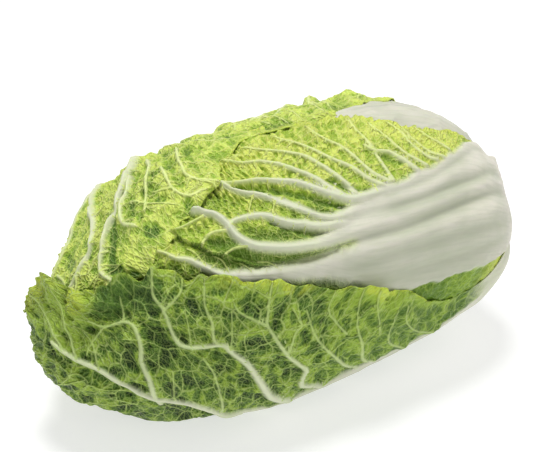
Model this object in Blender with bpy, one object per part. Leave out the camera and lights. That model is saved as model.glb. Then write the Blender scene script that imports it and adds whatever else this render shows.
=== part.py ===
"""Napa cabbage, whole head lying on its side.

Frame: metres, +Z up, +X along the head from the leaf tips (-X) to the cut
stem (+X).  The origin is the centre of the footprint, on the surface the
head rests on.

A point of the head is given by two head coordinates: u runs along a meridian
from the leafy tip (0) to the stem (1), and the angle runs round the long
axis, 0 at the top, 90 at the front (-Y), 180 underneath, -90 at the back.
Every leaf is a shell that lies on the leaves inside it, so the thicknesses
are stacked from the heart outwards.
"""
import math

import bmesh
import bpy
import numpy as np

# ---------------------------------------------------------------- dimensions
LENGTH = 0.296            # leafy tip to butt
BLUNTNESS = 2.92          # exponent of the end rounding
RADIUS = (0.0816, -0.0004, -0.0168, 0.0119, 0.0169)  # radius along the axis
DROOP = (0.0150, -0.0076, -0.0125, -0.0036)          # sideways sweep of the axis
DROOP_LEAN = math.radians(30)  # direction of that sweep, from vertical
# The tip, and the upper back at mid length, are flatter than that: thinner by
# these shares, and sunk along the sweep by these lengths.
TIP_FROM, TIP_SLIM, TIP_SINK = -0.58, 0.20, 0.0095
BACK_REACH, BACK_SLIM, BACK_SINK = 0.45, 0.030, 0.0023
AXIS_HEIGHT = 0.0760      # axis above the surface: the underside is pressed flat
CENTRE_X = -0.0001        # shift that centres the footprint
CENTRE_Y = 0.0007
SETTLE = 0.0014           # softness of the edge of the flat underside

BLADE = 0.0014            # blade thickness
PETIOLE = 0.0052          # white midrib, at its thickest
GAP = 0.0012              # between one leaf and the next
STEM_RADIUS = 0.0192
STEM_FACE_X = 0.1462      # the cut face
STEM_INNER_X = 0.1180     # where it meets the heart
STEM_NECK_X = 0.1300      # where its flare ends

NU, NA = 120, 180         # stacking grid: along the meridian, round the axis

# Each leaf: name, colour, steps along and across, and its stations from base
# to tip: (u, angle) of one margin, of the midrib and of the other margin.
LEAVES = [
    ("inner_back_leaf", (0.74, 0.80, 0.42), 18, 12, [
        ((0.935, -146), (0.935, -110), (0.935, -74)),
        ((0.85, -142), (0.85, -108), (0.85, -74)),
        ((0.75, -146), (0.75, -106), (0.75, -66)),
        ((0.62, -146), (0.62, -104), (0.62, -56)),
        ((0.48, -144), (0.48, -102), (0.48, -50)),
        ((0.36, -143), (0.36, -100), (0.36, -48)),
        ((0.26, -142), (0.25, -98), (0.26, -54)),
        ((0.20, -122), (0.19, -96), (0.20, -70)),
    ]),
    ("inner_front_leaf", (0.66, 0.76, 0.30), 19, 12, [
        ((0.935, 45), (0.935, 80), (0.935, 115)),
        ((0.78, 35), (0.78, 80), (0.78, 125)),
        ((0.62, 35), (0.62, 80), (0.62, 135)),
        ((0.50, 30), (0.50, 74), (0.50, 135)),
        ((0.42, 25), (0.41, 64), (0.42, 120)),
        ((0.34, 20), (0.34, 52), (0.33, 105)),
        ((0.27, 15), (0.28, 42), (0.26, 85)),
        ((0.22, 15), (0.23, 38), (0.22, 60)),
    ]),
    ("top_leaf", (0.62, 0.74, 0.28), 22, 13, [
        ((0.935, -50), (0.935, -6), (0.935, 38)),
        ((0.87, -52), (0.87, -4), (0.87, 40)),
        ((0.79, -44), (0.79, -1), (0.79, 40)),
        ((0.70, -34), (0.70, 0), (0.70, 45)),
        ((0.60, -36), (0.60, -2), (0.60, 48)),
        ((0.50, -44), (0.50, -6), (0.50, 48)),
        ((0.40, -52), (0.41, -10), (0.40, 45)),
        ((0.30, -58), (0.32, -12), (0.30, 40)),
        ((0.22, -55), (0.24, -8), (0.22, 30)),
        ((0.17, -40), (0.19, -5), (0.17, 20)),
    ]),
    ("underside_leaf", (0.45, 0.62, 0.20), 25, 15, [
        ((0.935, 170), (0.935, 208), (0.935, 246)),
        ((0.86, 172), (0.86, 208), (0.86, 242)),
        ((0.78, 162), (0.78, 209), (0.78, 246)),
        ((0.68, 152), (0.68, 210), (0.68, 256)),
        ((0.55, 146), (0.55, 210), (0.55, 268)),
        ((0.42, 144), (0.42, 210), (0.42, 268)),
        ((0.30, 146), (0.30, 208), (0.30, 266)),
        ((0.21, 155), (0.21, 205), (0.21, 255)),
        ((0.15, 170), (0.15, 205), (0.15, 240)),
    ]),
    ("main_front_leaf", (0.72, 0.80, 0.42), 24, 14, [
        ((0.935, 38), (0.935, 76), (0.935, 112)),
        ((0.86, 24), (0.86, 74), (0.86, 116)),
        ((0.78, 18), (0.78, 70), (0.78, 120)),
        ((0.70, 21), (0.70, 68), (0.70, 124)),
        ((0.62, 14), (0.62, 66), (0.62, 124)),
        ((0.56, 7), (0.55, 63), (0.55, 112)),
        ((0.51, -1), (0.49, 56), (0.47, 92)),
        ((0.47, -6), (0.43, 45), (0.41, 80)),
        ((0.43, -9), (0.385, 33), (0.37, 71)),
        ((0.385, -3), (0.34, 25), (0.325, 62)),
        ((0.345, 4), (0.298, 26), (0.285, 53)),
    ]),
    ("back_outer_leaf", (0.60, 0.73, 0.27), 30, 17, [
        ((0.935, -120), (0.935, -76), (0.935, -32)),
        ((0.87, -112), (0.87, -72), (0.87, -26)),
        ((0.79, -108), (0.79, -68), (0.79, -28)),
        ((0.70, -118), (0.70, -66), (0.70, -19)),
        ((0.62, -130), (0.62, -66), (0.62, -6)),
        ((0.54, -140), (0.545, -68), (0.56, 0)),
        ((0.48, -146), (0.49, -70), (0.50, -4)),
        ((0.42, -150), (0.435, -68), (0.455, -3)),
        ((0.36, -150), (0.385, -62), (0.41, 13)),
        ((0.30, -150), (0.33, -54), (0.365, 25)),
        ((0.25, -150), (0.28, -46), (0.32, 30)),
        ((0.20, -152), (0.22, -40), (0.27, 37)),
        ((0.15, -156), (0.165, -38), (0.21, 38)),
        ((0.10, -165), (0.11, -42), (0.15, 32)),
        ((0.05, -175), (0.055, -60), (0.10, 24)),
    ]),
    ("front_outer_leaf", (0.30, 0.50, 0.14), 30, 18, [
        ((0.935, 88), (0.935, 136), (0.935, 182)),
        ((0.87, 92), (0.87, 138), (0.87, 176)),
        ((0.80, 106), (0.80, 138), (0.80, 174)),
        ((0.73, 111), (0.74, 139), (0.73, 176)),
        ((0.67, 107), (0.68, 140), (0.67, 182)),
        ((0.62, 96), (0.63, 140), (0.62, 188)),
        ((0.54, 84), (0.56, 140), (0.54, 198)),
        ((0.46, 74), (0.49, 138), (0.46, 204)),
        ((0.38, 61), (0.41, 131), (0.38, 206)),
        ((0.31, 48), (0.34, 118), (0.31, 204)),
        ((0.24, 40), (0.27, 106), (0.24, 200)),
        ((0.19, 28), (0.20, 88), (0.18, 195)),
        ((0.155, 0), (0.14, 66), (0.14, 195)),
        ((0.125, -30), (0.095, 30), (0.12, 215)),
        ((0.10, -55), (0.085, -40), (0.10, -110)),
    ]),
]


# ------------------------------------------------------------------ the head
def head_point(u, angle, offset):
    """Point of the head at (u, angle in radians), raised by offset along the
    outward normal."""
    def at(uu):
        t = -np.cos(math.pi * uu)
        r = np.sqrt(np.clip(1 - np.abs(t) ** BLUNTNESS, 1e-9, None))
        r = r * sum(c * t ** k for k, c in enumerate(RADIUS))
        s = sum(c * t ** (k + 1) for k, c in enumerate(DROOP))
        tip = np.clip((TIP_FROM - t) / (TIP_FROM + 1), 0, 1)
        tip = tip * tip * (3 - 2 * tip)
        back = np.exp(-(t / BACK_REACH) ** 2)
        r = r * (1 - TIP_SLIM * tip - BACK_SLIM * back)
        s = s - TIP_SINK * tip - BACK_SINK * back
        return (t * LENGTH / 2, s * math.sin(DROOP_LEAN),
                s * math.cos(DROOP_LEAN), r)

    x, cy, cz, r = at(u)
    e = 1e-3
    x1, y1, z1, r1 = at(np.clip(u + e, 0, 1))
    x0, y0, z0, r0 = at(np.clip(u - e, 0, 1))
    radial = np.stack([np.zeros_like(x), -np.sin(angle), np.cos(angle)], -1)
    around = np.stack([np.zeros_like(x), -np.cos(angle), -np.sin(angle)], -1)
    along = np.stack([x1 - x0, y1 - y0, z1 - z0], -1) + (r1 - r0)[..., None] * radial
    normal = np.cross(along, around)
    normal /= np.linalg.norm(normal, axis=-1, keepdims=True)
    flip = np.sign((normal * (radial + 1e-3 * np.array([1.0, 0, 0])
                              * np.sign(x)[..., None])).sum(-1))
    normal *= np.where(flip == 0, 1, flip)[..., None]
    p = np.stack([x, cy, cz], -1) + r[..., None] * radial
    return p + offset[..., None] * normal


def smooth_rails(stations, steps, subdivide=24):
    """Margin, midrib and margin as smooth curves in the plane whose polar
    coordinates are (u, angle), at evenly spaced steps."""
    pts = np.array([[(u * math.cos(math.radians(a)), u * math.sin(math.radians(a)))
                     for u, a in row] for row in stations])
    n = len(pts)
    full = np.concatenate([[2 * pts[0] - pts[1]], pts, [2 * pts[-1] - pts[-2]]])
    out = []
    for i in range(n - 1):
        p0, p1, p2, p3 = full[i:i + 4]
        for w in np.linspace(0, 1, subdivide, endpoint=False):
            out.append(0.5 * (2 * p1 + (p2 - p0) * w
                              + (2 * p0 - 5 * p1 + 4 * p2 - p3) * w ** 2
                              + (3 * p1 - p0 - 3 * p2 + p3) * w ** 3))
    out.append(pts[-1])
    out = np.array(out)
    mid = out[:, 1]
    length = np.concatenate([[0], np.cumsum(np.linalg.norm(np.diff(mid, axis=0), axis=1))])
    # even steps along the midrib, with a little of the raw parameter mixed in
    length = 0.6 * length / length[-1] + 0.4 * np.linspace(0, 1, len(length))
    at = np.linspace(0, 1, steps)
    return np.stack([[np.interp(at, length, out[:, r, k]) for k in range(2)]
                     for r in range(3)]).transpose(2, 0, 1)


def leaf_grid(stations, along, across):
    """u, angle, position along (0 base, 1 tip) and across (-1..1) of a grid."""
    rails = smooth_rails(stations, along)
    v = np.linspace(-1, 1, across)
    w = np.stack([v * (v - 1) / 2, 1 - v * v, v * (v + 1) / 2])
    p = np.einsum("trk,rv->tvk", rails, w)
    u = np.hypot(p[..., 0], p[..., 1])
    angle = np.arctan2(p[..., 1], p[..., 0])
    t, vv = np.meshgrid(np.linspace(0, 1, along), v, indexing="ij")
    return u, angle, t, vv


def thickness(t, v):
    """Thick white midrib, broad at the base and narrow at the tip; thin blade,
    thinner at its margins."""
    half = 0.72 - 0.62 * np.clip(t / 0.75, 0, 1)
    rib = np.exp(-(v / half) ** 2 * 1.4) * np.clip(1 - t / 0.95, 0, 1) ** 0.8
    base = 0.45 + 0.55 * np.clip(t / 0.16, 0, 1)
    return (BLADE + (PETIOLE - BLADE) * rib) * base


# --------------------------------------------------- stacking of the leaves
GRID_U = (np.arange(NU) + 0.5) / NU
GRID_A = np.radians(-180 + (np.arange(NA) + 0.5) * 360 / NA)


def girth(u):
    t = -np.cos(math.pi * u)
    return np.sqrt(np.clip(1 - np.abs(t) ** BLUNTNESS, 1e-4, None)) * 0.08


def swell(top, reach):
    """Highest value within reach metres."""
    out = top.copy()
    step_u = LENGTH / NU * 1.2
    k = int(math.ceil(reach / step_u))
    for d in range(1, k + 1):
        out[d:] = np.maximum(out[d:], top[:-d])
        out[:-d] = np.maximum(out[:-d], top[d:])
    wide = out.copy()
    for i, u in enumerate(GRID_U):
        step_a = girth(u) * 2 * math.pi / NA
        k = min(NA // 2, int(math.ceil(reach / step_a)))
        for d in range(1, k + 1):
            wide[i] = np.maximum(wide[i], np.maximum(np.roll(out[i], d), np.roll(out[i], -d)))
    return wide


def soften(top, sigma):
    """Gaussian blur of sigma metres over the head's surface."""
    freq = np.fft.rfftfreq(NA) * 2 * math.pi
    out = np.empty_like(top)
    for i, u in enumerate(GRID_U):
        s = sigma / (girth(u) * 2 * math.pi / NA)
        out[i] = np.fft.irfft(np.fft.rfft(top[i]) * np.exp(-0.5 * (freq * s) ** 2), NA)
    s = sigma / (LENGTH / NU * 1.2)
    r = int(3 * s) + 1
    kernel = np.exp(-0.5 * (np.arange(-r, r + 1) / s) ** 2)
    kernel /= kernel.sum()
    padded = np.concatenate([np.roll(out[:r][::-1], NA // 2, axis=1), out,
                             np.roll(out[-r:][::-1], NA // 2, axis=1)])
    return sum(k * padded[j:j + NU] for j, k in enumerate(kernel))


def sample(field, u, angle):
    """Bilinear reading of a stacking grid."""
    fu = np.clip(u * NU - 0.5, 0, NU - 1.001)
    fa = (np.degrees(angle) + 180) / 360 * NA - 0.5
    i, j = np.floor(fu).astype(int), np.floor(fa).astype(int)
    a, b = fu - i, fa - j
    j0, j1 = j % NA, (j + 1) % NA
    return ((1 - a) * ((1 - b) * field[i, j0] + b * field[i, j1])
            + a * ((1 - b) * field[i + 1, j0] + b * field[i + 1, j1]))


def stack():
    """Offset of the underside of each leaf, and the total, from a bare heart."""
    top = np.zeros((NU, NA))
    unders = {}
    for name, _, _, _, stations in LEAVES:
        u, angle, t, v = leaf_grid(stations, 260, 200)
        under = soften(swell(top, 0.0085), 0.0035) + GAP
        unders[name] = under
        i = np.clip((u * NU).astype(int), 0, NU - 1)
        j = ((np.degrees(angle) + 180) / 360 * NA).astype(int) % NA
        thick = np.zeros((NU, NA))
        np.maximum.at(thick, (i, j), thickness(t, v))
        top = np.where(thick > 0, under + thick, top)
    return unders, top


UNDERS, TOTAL = stack()
HEART_DROP = soften(swell(TOTAL, 0.01), 0.02)
OUTSIDE = TOTAL - HEART_DROP


def flattened(p, u, angle):
    """The underside is pressed flat: everything there is lifted as much as the
    outermost surface has to be, easing in over SETTLE."""
    outer = head_point(u, angle, sample(OUTSIDE, u, angle))
    deep = -AXIS_HEIGHT - outer[..., 2]
    lift = 0.5 * (deep + np.sqrt(deep ** 2 + SETTLE ** 2))
    lift = np.where((np.cos(angle) < 0) & (deep > -0.02), lift, 0)
    q = p.copy()
    q[..., 2] += lift + AXIS_HEIGHT
    q[..., 0] += CENTRE_X
    q[..., 1] += CENTRE_Y
    return q


# ------------------------------------------------------------------- solids
def material(name, colour, roughness):
    m = bpy.data.materials.new(name)
    m.use_nodes = True
    p = m.node_tree.nodes["Principled BSDF"]
    p.inputs["Base Color"].default_value = (*colour, 1)
    p.inputs["Roughness"].default_value = roughness
    p.inputs["Metallic"].default_value = 0
    return m


def add_object(name, verts, faces, colour, roughness=0.5):
    mesh = bpy.data.meshes.new(name)
    mesh.from_pydata([tuple(map(float, p)) for p in verts], [], faces)
    bm = bmesh.new()
    bm.from_mesh(mesh)
    bmesh.ops.recalc_face_normals(bm, faces=bm.faces)
    bm.to_mesh(mesh)
    bm.free()
    mesh.shade_smooth()
    mesh.set_sharp_from_angle(angle=math.radians(50))
    ob = bpy.data.objects.new(name, mesh)
    ob.data.materials.append(material(name, colour, roughness))
    bpy.context.scene.collection.objects.link(ob)
    return ob


def add_leaf(name, colour, along, across, stations):
    u, angle, t, v = leaf_grid(stations, along, across)
    under = sample(UNDERS[name] - HEART_DROP, u, angle)
    inner = flattened(head_point(u, angle, under), u, angle)
    outer = flattened(head_point(u, angle, under + thickness(t, v)), u, angle)
    # where the outer face is pressed to the surface it lies exactly in it
    outer[..., 2] = np.where(outer[..., 2] < 4.5e-4, 0.0, outer[..., 2])
    n = along * across
    verts = np.concatenate([outer.reshape(-1, 3), inner.reshape(-1, 3)])
    at = np.arange(n).reshape(along, across)
    faces = []
    for i in range(along - 1):
        for j in range(across - 1):
            a, b, c, d = at[i, j], at[i + 1, j], at[i + 1, j + 1], at[i, j + 1]
            faces.append((a, b, c, d))
            faces.append((n + d, n + c, n + b, n + a))
    ring = ([at[i, 0] for i in range(along)] + [at[-1, j] for j in range(1, across)]
            + [at[i, -1] for i in range(along - 2, -1, -1)]
            + [at[0, j] for j in range(across - 2, 0, -1)])
    for a, b in zip(ring, ring[1:] + ring[:1]):
        faces.append((b, a, n + a, n + b))
    faces = [tuple(int(k) for k in f) for f in faces]
    add_object(name, verts, faces, colour)


def core_rings(xs, around):
    """Rings, at these stations along the axis, of the surface that the
    innermost leaves lie on."""
    us = np.linspace(0.02, 0.935, 260)
    angles = np.radians(-180 + np.arange(around) * 360 / around)
    u, a = np.meshgrid(us, angles, indexing="ij")
    p = flattened(head_point(u, a, sample(-HEART_DROP, u, a) - GAP), u, a)
    ahead = np.maximum.accumulate(p[..., 0], axis=0)
    return np.stack([[[np.interp(x, ahead[:, j], p[:, j, k]) if k else x
                       for k in range(3)] for j in range(around)] for x in xs])


def ring_solid(name, rings, colour, first_point=None):
    """Body skinned over rings of points, closed by a flat face at its end and
    a flat face, or a point, at its start."""
    k, around = rings.shape[:2]
    verts = [*rings.reshape(-1, 3)]
    faces = []
    for i in range(k - 1):
        for j in range(around):
            j2 = (j + 1) % around
            faces.append((i * around + j, i * around + j2,
                          (i + 1) * around + j2, (i + 1) * around + j))
    if first_point is None:
        faces.append(tuple(reversed(range(around))))
    else:
        verts.append(first_point)
        for j in range(around):
            faces.append((k * around, (j + 1) % around, j))
    faces.append(tuple(range((k - 1) * around, k * around)))
    add_object(name, verts, faces, colour)


def add_heart():
    """The tightly packed inner leaves, as one body, cut square where the stem
    meets it."""
    limit = STEM_INNER_X - 0.0006
    start = -0.1400
    steps = 0.5 - 0.5 * np.cos(np.linspace(0.12, 0.80, 22) * math.pi)
    steps = (steps - steps[0]) / (steps[-1] - steps[0])
    rings = core_rings(start + (limit - start) * steps, 30)
    ring_solid("heart", rings, (0.90, 0.90, 0.68),
               rings[0].mean(0) - np.array([0.0020, 0, 0]))


def add_stem():
    """The stem: it flares inside the leaf bases and is cut across below them."""
    around = 30
    flare = core_rings(np.linspace(STEM_INNER_X, STEM_NECK_X, 7), around)
    t = 0.985
    s = sum(c * t ** (k + 1) for k, c in enumerate(DROOP))
    cy = s * math.sin(DROOP_LEAN) + CENTRE_Y
    cz = s * math.cos(DROOP_LEAN) + AXIS_HEIGHT
    rings = [*flare]
    a = np.radians(-180 + np.arange(around) * 360 / around)
    for x, r in ((STEM_NECK_X + 0.0025, STEM_RADIUS),
                 (STEM_FACE_X - 0.0035, STEM_RADIUS - 0.0001),
                 (STEM_FACE_X - 0.0008, STEM_RADIUS - 0.0007),
                 (STEM_FACE_X, STEM_RADIUS - 0.0024)):
        rings.append(np.stack([np.full(around, x), cy - r * np.sin(a), cz + r * np.cos(a)], -1))
    ring_solid("cut_stem", np.array(rings), (0.90, 0.86, 0.74))


for ob in list(bpy.data.objects):
    bpy.data.objects.remove(ob)
add_heart()
add_stem()
for leaf in LEAVES:
    add_leaf(*leaf)
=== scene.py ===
"""Looks of a napa cabbage head that lies on its side.

Metres, +Z up, +X from the leafy tip to the cut stem.  A place on the head is
(u, angle): u runs from the tip (0) to the stem (1), the angle round the long
axis from the top (0) over the front (90) to the underside (180) and the back
(-90).  Every leaf is a closed shell on a fine grid.  Its relief (ribs, veins,
blisters, ruffles) is in the mesh, and its finest network is in the material.
"""
import math

import bpy
import numpy as np
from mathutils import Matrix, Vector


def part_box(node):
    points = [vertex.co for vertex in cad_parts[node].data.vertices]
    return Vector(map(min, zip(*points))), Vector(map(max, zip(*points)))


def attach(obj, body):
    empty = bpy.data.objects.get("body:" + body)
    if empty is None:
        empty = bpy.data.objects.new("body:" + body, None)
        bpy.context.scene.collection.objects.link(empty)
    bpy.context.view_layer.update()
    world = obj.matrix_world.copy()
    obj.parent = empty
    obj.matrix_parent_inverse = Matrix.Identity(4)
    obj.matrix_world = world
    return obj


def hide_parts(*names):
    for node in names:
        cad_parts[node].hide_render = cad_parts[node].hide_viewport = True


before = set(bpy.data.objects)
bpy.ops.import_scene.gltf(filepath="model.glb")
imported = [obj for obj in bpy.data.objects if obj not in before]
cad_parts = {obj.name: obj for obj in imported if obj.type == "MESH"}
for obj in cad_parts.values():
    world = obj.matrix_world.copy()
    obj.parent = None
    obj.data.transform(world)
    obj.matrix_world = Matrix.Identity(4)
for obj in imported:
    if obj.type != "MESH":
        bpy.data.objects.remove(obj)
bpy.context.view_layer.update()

# ------------------------------------------------------------------ the head
LENGTH = 0.296
BLUNTNESS = 2.92
RADIUS = (0.0816, -0.0004, -0.0168, 0.0119, 0.0169)
DROOP = (0.0150, -0.0076, -0.0125, -0.0036)
DROOP_LEAN = math.radians(30)
TIP_FROM, TIP_SLIM, TIP_SINK = -0.58, 0.20, 0.0095
BACK_REACH, BACK_SLIM, BACK_SINK = 0.45, 0.030, 0.0023
AXIS_HEIGHT = 0.0760
CENTRE_X = -0.0001
CENTRE_Y = 0.0007
SETTLE = 0.0014
BLADE = 0.0014
PETIOLE = 0.0052
GAP = 0.0012
STEM_RADIUS = 0.0192
STEM_FACE_X = 0.1462
NU, NA = 120, 180

STATIONS = {
    "inner_back_leaf": [
        ((0.935, -146), (0.935, -110), (0.935, -74)),
        ((0.85, -142), (0.85, -108), (0.85, -74)),
        ((0.75, -146), (0.75, -106), (0.75, -66)),
        ((0.62, -146), (0.62, -104), (0.62, -56)),
        ((0.48, -144), (0.48, -102), (0.48, -50)),
        ((0.36, -143), (0.36, -100), (0.36, -48)),
        ((0.26, -142), (0.25, -98), (0.26, -54)),
        ((0.20, -122), (0.19, -96), (0.20, -70)),
    ],
    "inner_front_leaf": [
        ((0.935, 45), (0.935, 80), (0.935, 115)),
        ((0.78, 35), (0.78, 80), (0.78, 125)),
        ((0.62, 35), (0.62, 80), (0.62, 135)),
        ((0.50, 30), (0.50, 74), (0.50, 135)),
        ((0.42, 25), (0.41, 64), (0.42, 120)),
        ((0.34, 20), (0.34, 52), (0.33, 105)),
        ((0.27, 15), (0.28, 42), (0.26, 85)),
        ((0.22, 15), (0.23, 38), (0.22, 60)),
    ],
    "top_leaf": [
        ((0.935, -50), (0.935, -6), (0.935, 38)),
        ((0.87, -52), (0.87, -4), (0.87, 40)),
        ((0.79, -44), (0.79, -1), (0.79, 40)),
        ((0.70, -34), (0.70, 0), (0.70, 45)),
        ((0.60, -36), (0.60, -2), (0.60, 48)),
        ((0.50, -44), (0.50, -6), (0.50, 48)),
        ((0.40, -52), (0.41, -10), (0.40, 45)),
        ((0.30, -58), (0.32, -12), (0.30, 40)),
        ((0.22, -55), (0.24, -8), (0.22, 30)),
        ((0.17, -40), (0.19, -5), (0.17, 20)),
    ],
    "underside_leaf": [
        ((0.935, 170), (0.935, 208), (0.935, 246)),
        ((0.86, 172), (0.86, 208), (0.86, 242)),
        ((0.78, 162), (0.78, 209), (0.78, 246)),
        ((0.68, 152), (0.68, 210), (0.68, 256)),
        ((0.55, 146), (0.55, 210), (0.55, 268)),
        ((0.42, 144), (0.42, 210), (0.42, 268)),
        ((0.30, 146), (0.30, 208), (0.30, 266)),
        ((0.21, 155), (0.21, 205), (0.21, 255)),
        ((0.15, 170), (0.15, 205), (0.15, 240)),
    ],
    "main_front_leaf": [
        ((0.935, 38), (0.935, 76), (0.935, 112)),
        ((0.86, 24), (0.86, 74), (0.86, 116)),
        ((0.78, 18), (0.78, 70), (0.78, 120)),
        ((0.70, 21), (0.70, 68), (0.70, 124)),
        ((0.62, 14), (0.62, 66), (0.62, 124)),
        ((0.56, 7), (0.55, 63), (0.55, 112)),
        ((0.51, -1), (0.49, 56), (0.47, 92)),
        ((0.47, -6), (0.43, 45), (0.41, 80)),
        ((0.43, -9), (0.385, 33), (0.37, 71)),
        ((0.385, -3), (0.34, 25), (0.325, 62)),
        ((0.345, 4), (0.298, 26), (0.285, 53)),
    ],
    "back_outer_leaf": [
        ((0.935, -120), (0.935, -76), (0.935, -32)),
        ((0.87, -112), (0.87, -72), (0.87, -26)),
        ((0.79, -108), (0.79, -68), (0.79, -28)),
        ((0.70, -118), (0.70, -66), (0.70, -19)),
        ((0.62, -130), (0.62, -66), (0.62, -6)),
        ((0.54, -140), (0.545, -68), (0.56, 0)),
        ((0.48, -146), (0.49, -70), (0.50, -4)),
        ((0.42, -150), (0.435, -68), (0.455, -3)),
        ((0.36, -150), (0.385, -62), (0.41, 13)),
        ((0.30, -150), (0.33, -54), (0.365, 25)),
        ((0.25, -150), (0.28, -46), (0.32, 30)),
        ((0.20, -152), (0.22, -40), (0.27, 37)),
        ((0.15, -156), (0.165, -38), (0.21, 38)),
        ((0.10, -165), (0.11, -42), (0.15, 32)),
        ((0.05, -175), (0.055, -60), (0.10, 24)),
    ],
    "front_outer_leaf": [
        ((0.935, 88), (0.935, 136), (0.935, 182)),
        ((0.87, 92), (0.87, 138), (0.87, 176)),
        ((0.80, 106), (0.80, 138), (0.80, 174)),
        ((0.73, 111), (0.74, 139), (0.73, 176)),
        ((0.67, 107), (0.68, 140), (0.67, 182)),
        ((0.62, 96), (0.63, 140), (0.62, 188)),
        ((0.54, 84), (0.56, 140), (0.54, 198)),
        ((0.46, 74), (0.49, 138), (0.46, 204)),
        ((0.38, 61), (0.41, 131), (0.38, 206)),
        ((0.31, 48), (0.34, 118), (0.31, 204)),
        ((0.24, 40), (0.27, 106), (0.24, 200)),
        ((0.19, 28), (0.20, 88), (0.18, 195)),
        ((0.155, 0), (0.14, 66), (0.14, 195)),
        ((0.125, -30), (0.095, 30), (0.12, 215)),
        ((0.10, -55), (0.085, -40), (0.10, -110)),
    ],
}
ORDER = list(STATIONS)


def head_at(u):
    t = -np.cos(math.pi * u)
    r = np.sqrt(np.clip(1 - np.abs(t) ** BLUNTNESS, 1e-9, None))
    r = r * sum(c * t ** k for k, c in enumerate(RADIUS))
    s = sum(c * t ** (k + 1) for k, c in enumerate(DROOP))
    tip = np.clip((TIP_FROM - t) / (TIP_FROM + 1), 0, 1)
    tip = tip * tip * (3 - 2 * tip)
    back = np.exp(-(t / BACK_REACH) ** 2)
    r = r * (1 - TIP_SLIM * tip - BACK_SLIM * back)
    s = s - TIP_SINK * tip - BACK_SINK * back
    return t * LENGTH / 2, s * math.sin(DROOP_LEAN), s * math.cos(DROOP_LEAN), r


def head_frame(u, angle):
    """Point of the bare head and its outward normal."""
    x, cy, cz, r = head_at(u)
    e = 1e-3
    x1, y1, z1, r1 = head_at(np.clip(u + e, 0, 1))
    x0, y0, z0, r0 = head_at(np.clip(u - e, 0, 1))
    radial = np.stack([np.zeros_like(x), -np.sin(angle), np.cos(angle)], -1)
    around = np.stack([np.zeros_like(x), -np.cos(angle), -np.sin(angle)], -1)
    along = np.stack([x1 - x0, y1 - y0, z1 - z0], -1) + (r1 - r0)[..., None] * radial
    normal = np.cross(along, around)
    normal /= np.linalg.norm(normal, axis=-1, keepdims=True)
    flip = np.sign((normal * (radial + 1e-3 * np.array([1.0, 0, 0])
                              * np.sign(x)[..., None])).sum(-1))
    normal *= np.where(flip == 0, 1, flip)[..., None]
    return np.stack([x, cy, cz], -1) + r[..., None] * radial, normal


def head_point(u, angle, offset):
    p, n = head_frame(u, angle)
    return p + offset[..., None] * n


DENSE = {}


def dense_rails(stations, subdivide=24):
    """The two margins and the midrib as smooth curves, and the share of the
    leaf's length at each of their points."""
    if id(stations) in DENSE:
        return DENSE[id(stations)]
    pts = np.array([[(u * math.cos(math.radians(a)), u * math.sin(math.radians(a)))
                     for u, a in row] for row in stations])
    full = np.concatenate([[2 * pts[0] - pts[1]], pts, [2 * pts[-1] - pts[-2]]])
    out = []
    for i in range(len(pts) - 1):
        p0, p1, p2, p3 = full[i:i + 4]
        for w in np.linspace(0, 1, subdivide, endpoint=False):
            out.append(0.5 * (2 * p1 + (p2 - p0) * w
                              + (2 * p0 - 5 * p1 + 4 * p2 - p3) * w ** 2
                              + (3 * p1 - p0 - 3 * p2 + p3) * w ** 3))
    out.append(pts[-1])
    out = np.array(out)
    mid = out[:, 1]
    length = np.concatenate([[0], np.cumsum(np.linalg.norm(np.diff(mid, axis=0), axis=1))])
    length = 0.6 * length / length[-1] + 0.4 * np.linspace(0, 1, len(length))
    DENSE[id(stations)] = (length, out)
    return DENSE[id(stations)]


def smooth_rails(stations, at):
    """The rails read at these shares of the leaf's length."""
    length, out = dense_rails(stations)
    return np.stack([[np.interp(at, length, out[:, r, k]) for k in range(2)]
                     for r in range(3)]).transpose(2, 0, 1)


def leaf_place(stations, t, v):
    """u and angle at shares t of the length and v (-1..1) across."""
    rails = smooth_rails(stations, t)
    w = np.stack([v * (v - 1) / 2, 1 - v * v, v * (v + 1) / 2])
    p = np.einsum("trk,rv->tvk", rails, w)
    return np.hypot(p[..., 0], p[..., 1]), np.arctan2(p[..., 1], p[..., 0])


def thickness(t, v):
    half = 0.72 - 0.62 * np.clip(t / 0.75, 0, 1)
    rib = np.exp(-(v / half) ** 2 * 1.4) * np.clip(1 - t / 0.95, 0, 1) ** 0.8
    base = 0.45 + 0.55 * np.clip(t / 0.16, 0, 1)
    return (BLADE + (PETIOLE - BLADE) * rib) * base


# --------------------------------------------------- stacking of the leaves
GRID_U = (np.arange(NU) + 0.5) / NU


def girth(u):
    t = -np.cos(math.pi * u)
    return np.sqrt(np.clip(1 - np.abs(t) ** BLUNTNESS, 1e-4, None)) * 0.08


def swell(top, reach):
    out = top.copy()
    k = int(math.ceil(reach / (LENGTH / NU * 1.2)))
    for d in range(1, k + 1):
        out[d:] = np.maximum(out[d:], top[:-d])
        out[:-d] = np.maximum(out[:-d], top[d:])
    wide = out.copy()
    for i, u in enumerate(GRID_U):
        k = min(NA // 2, int(math.ceil(reach / (girth(u) * 2 * math.pi / NA))))
        for d in range(1, k + 1):
            wide[i] = np.maximum(wide[i], np.maximum(np.roll(out[i], d), np.roll(out[i], -d)))
    return wide


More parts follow.
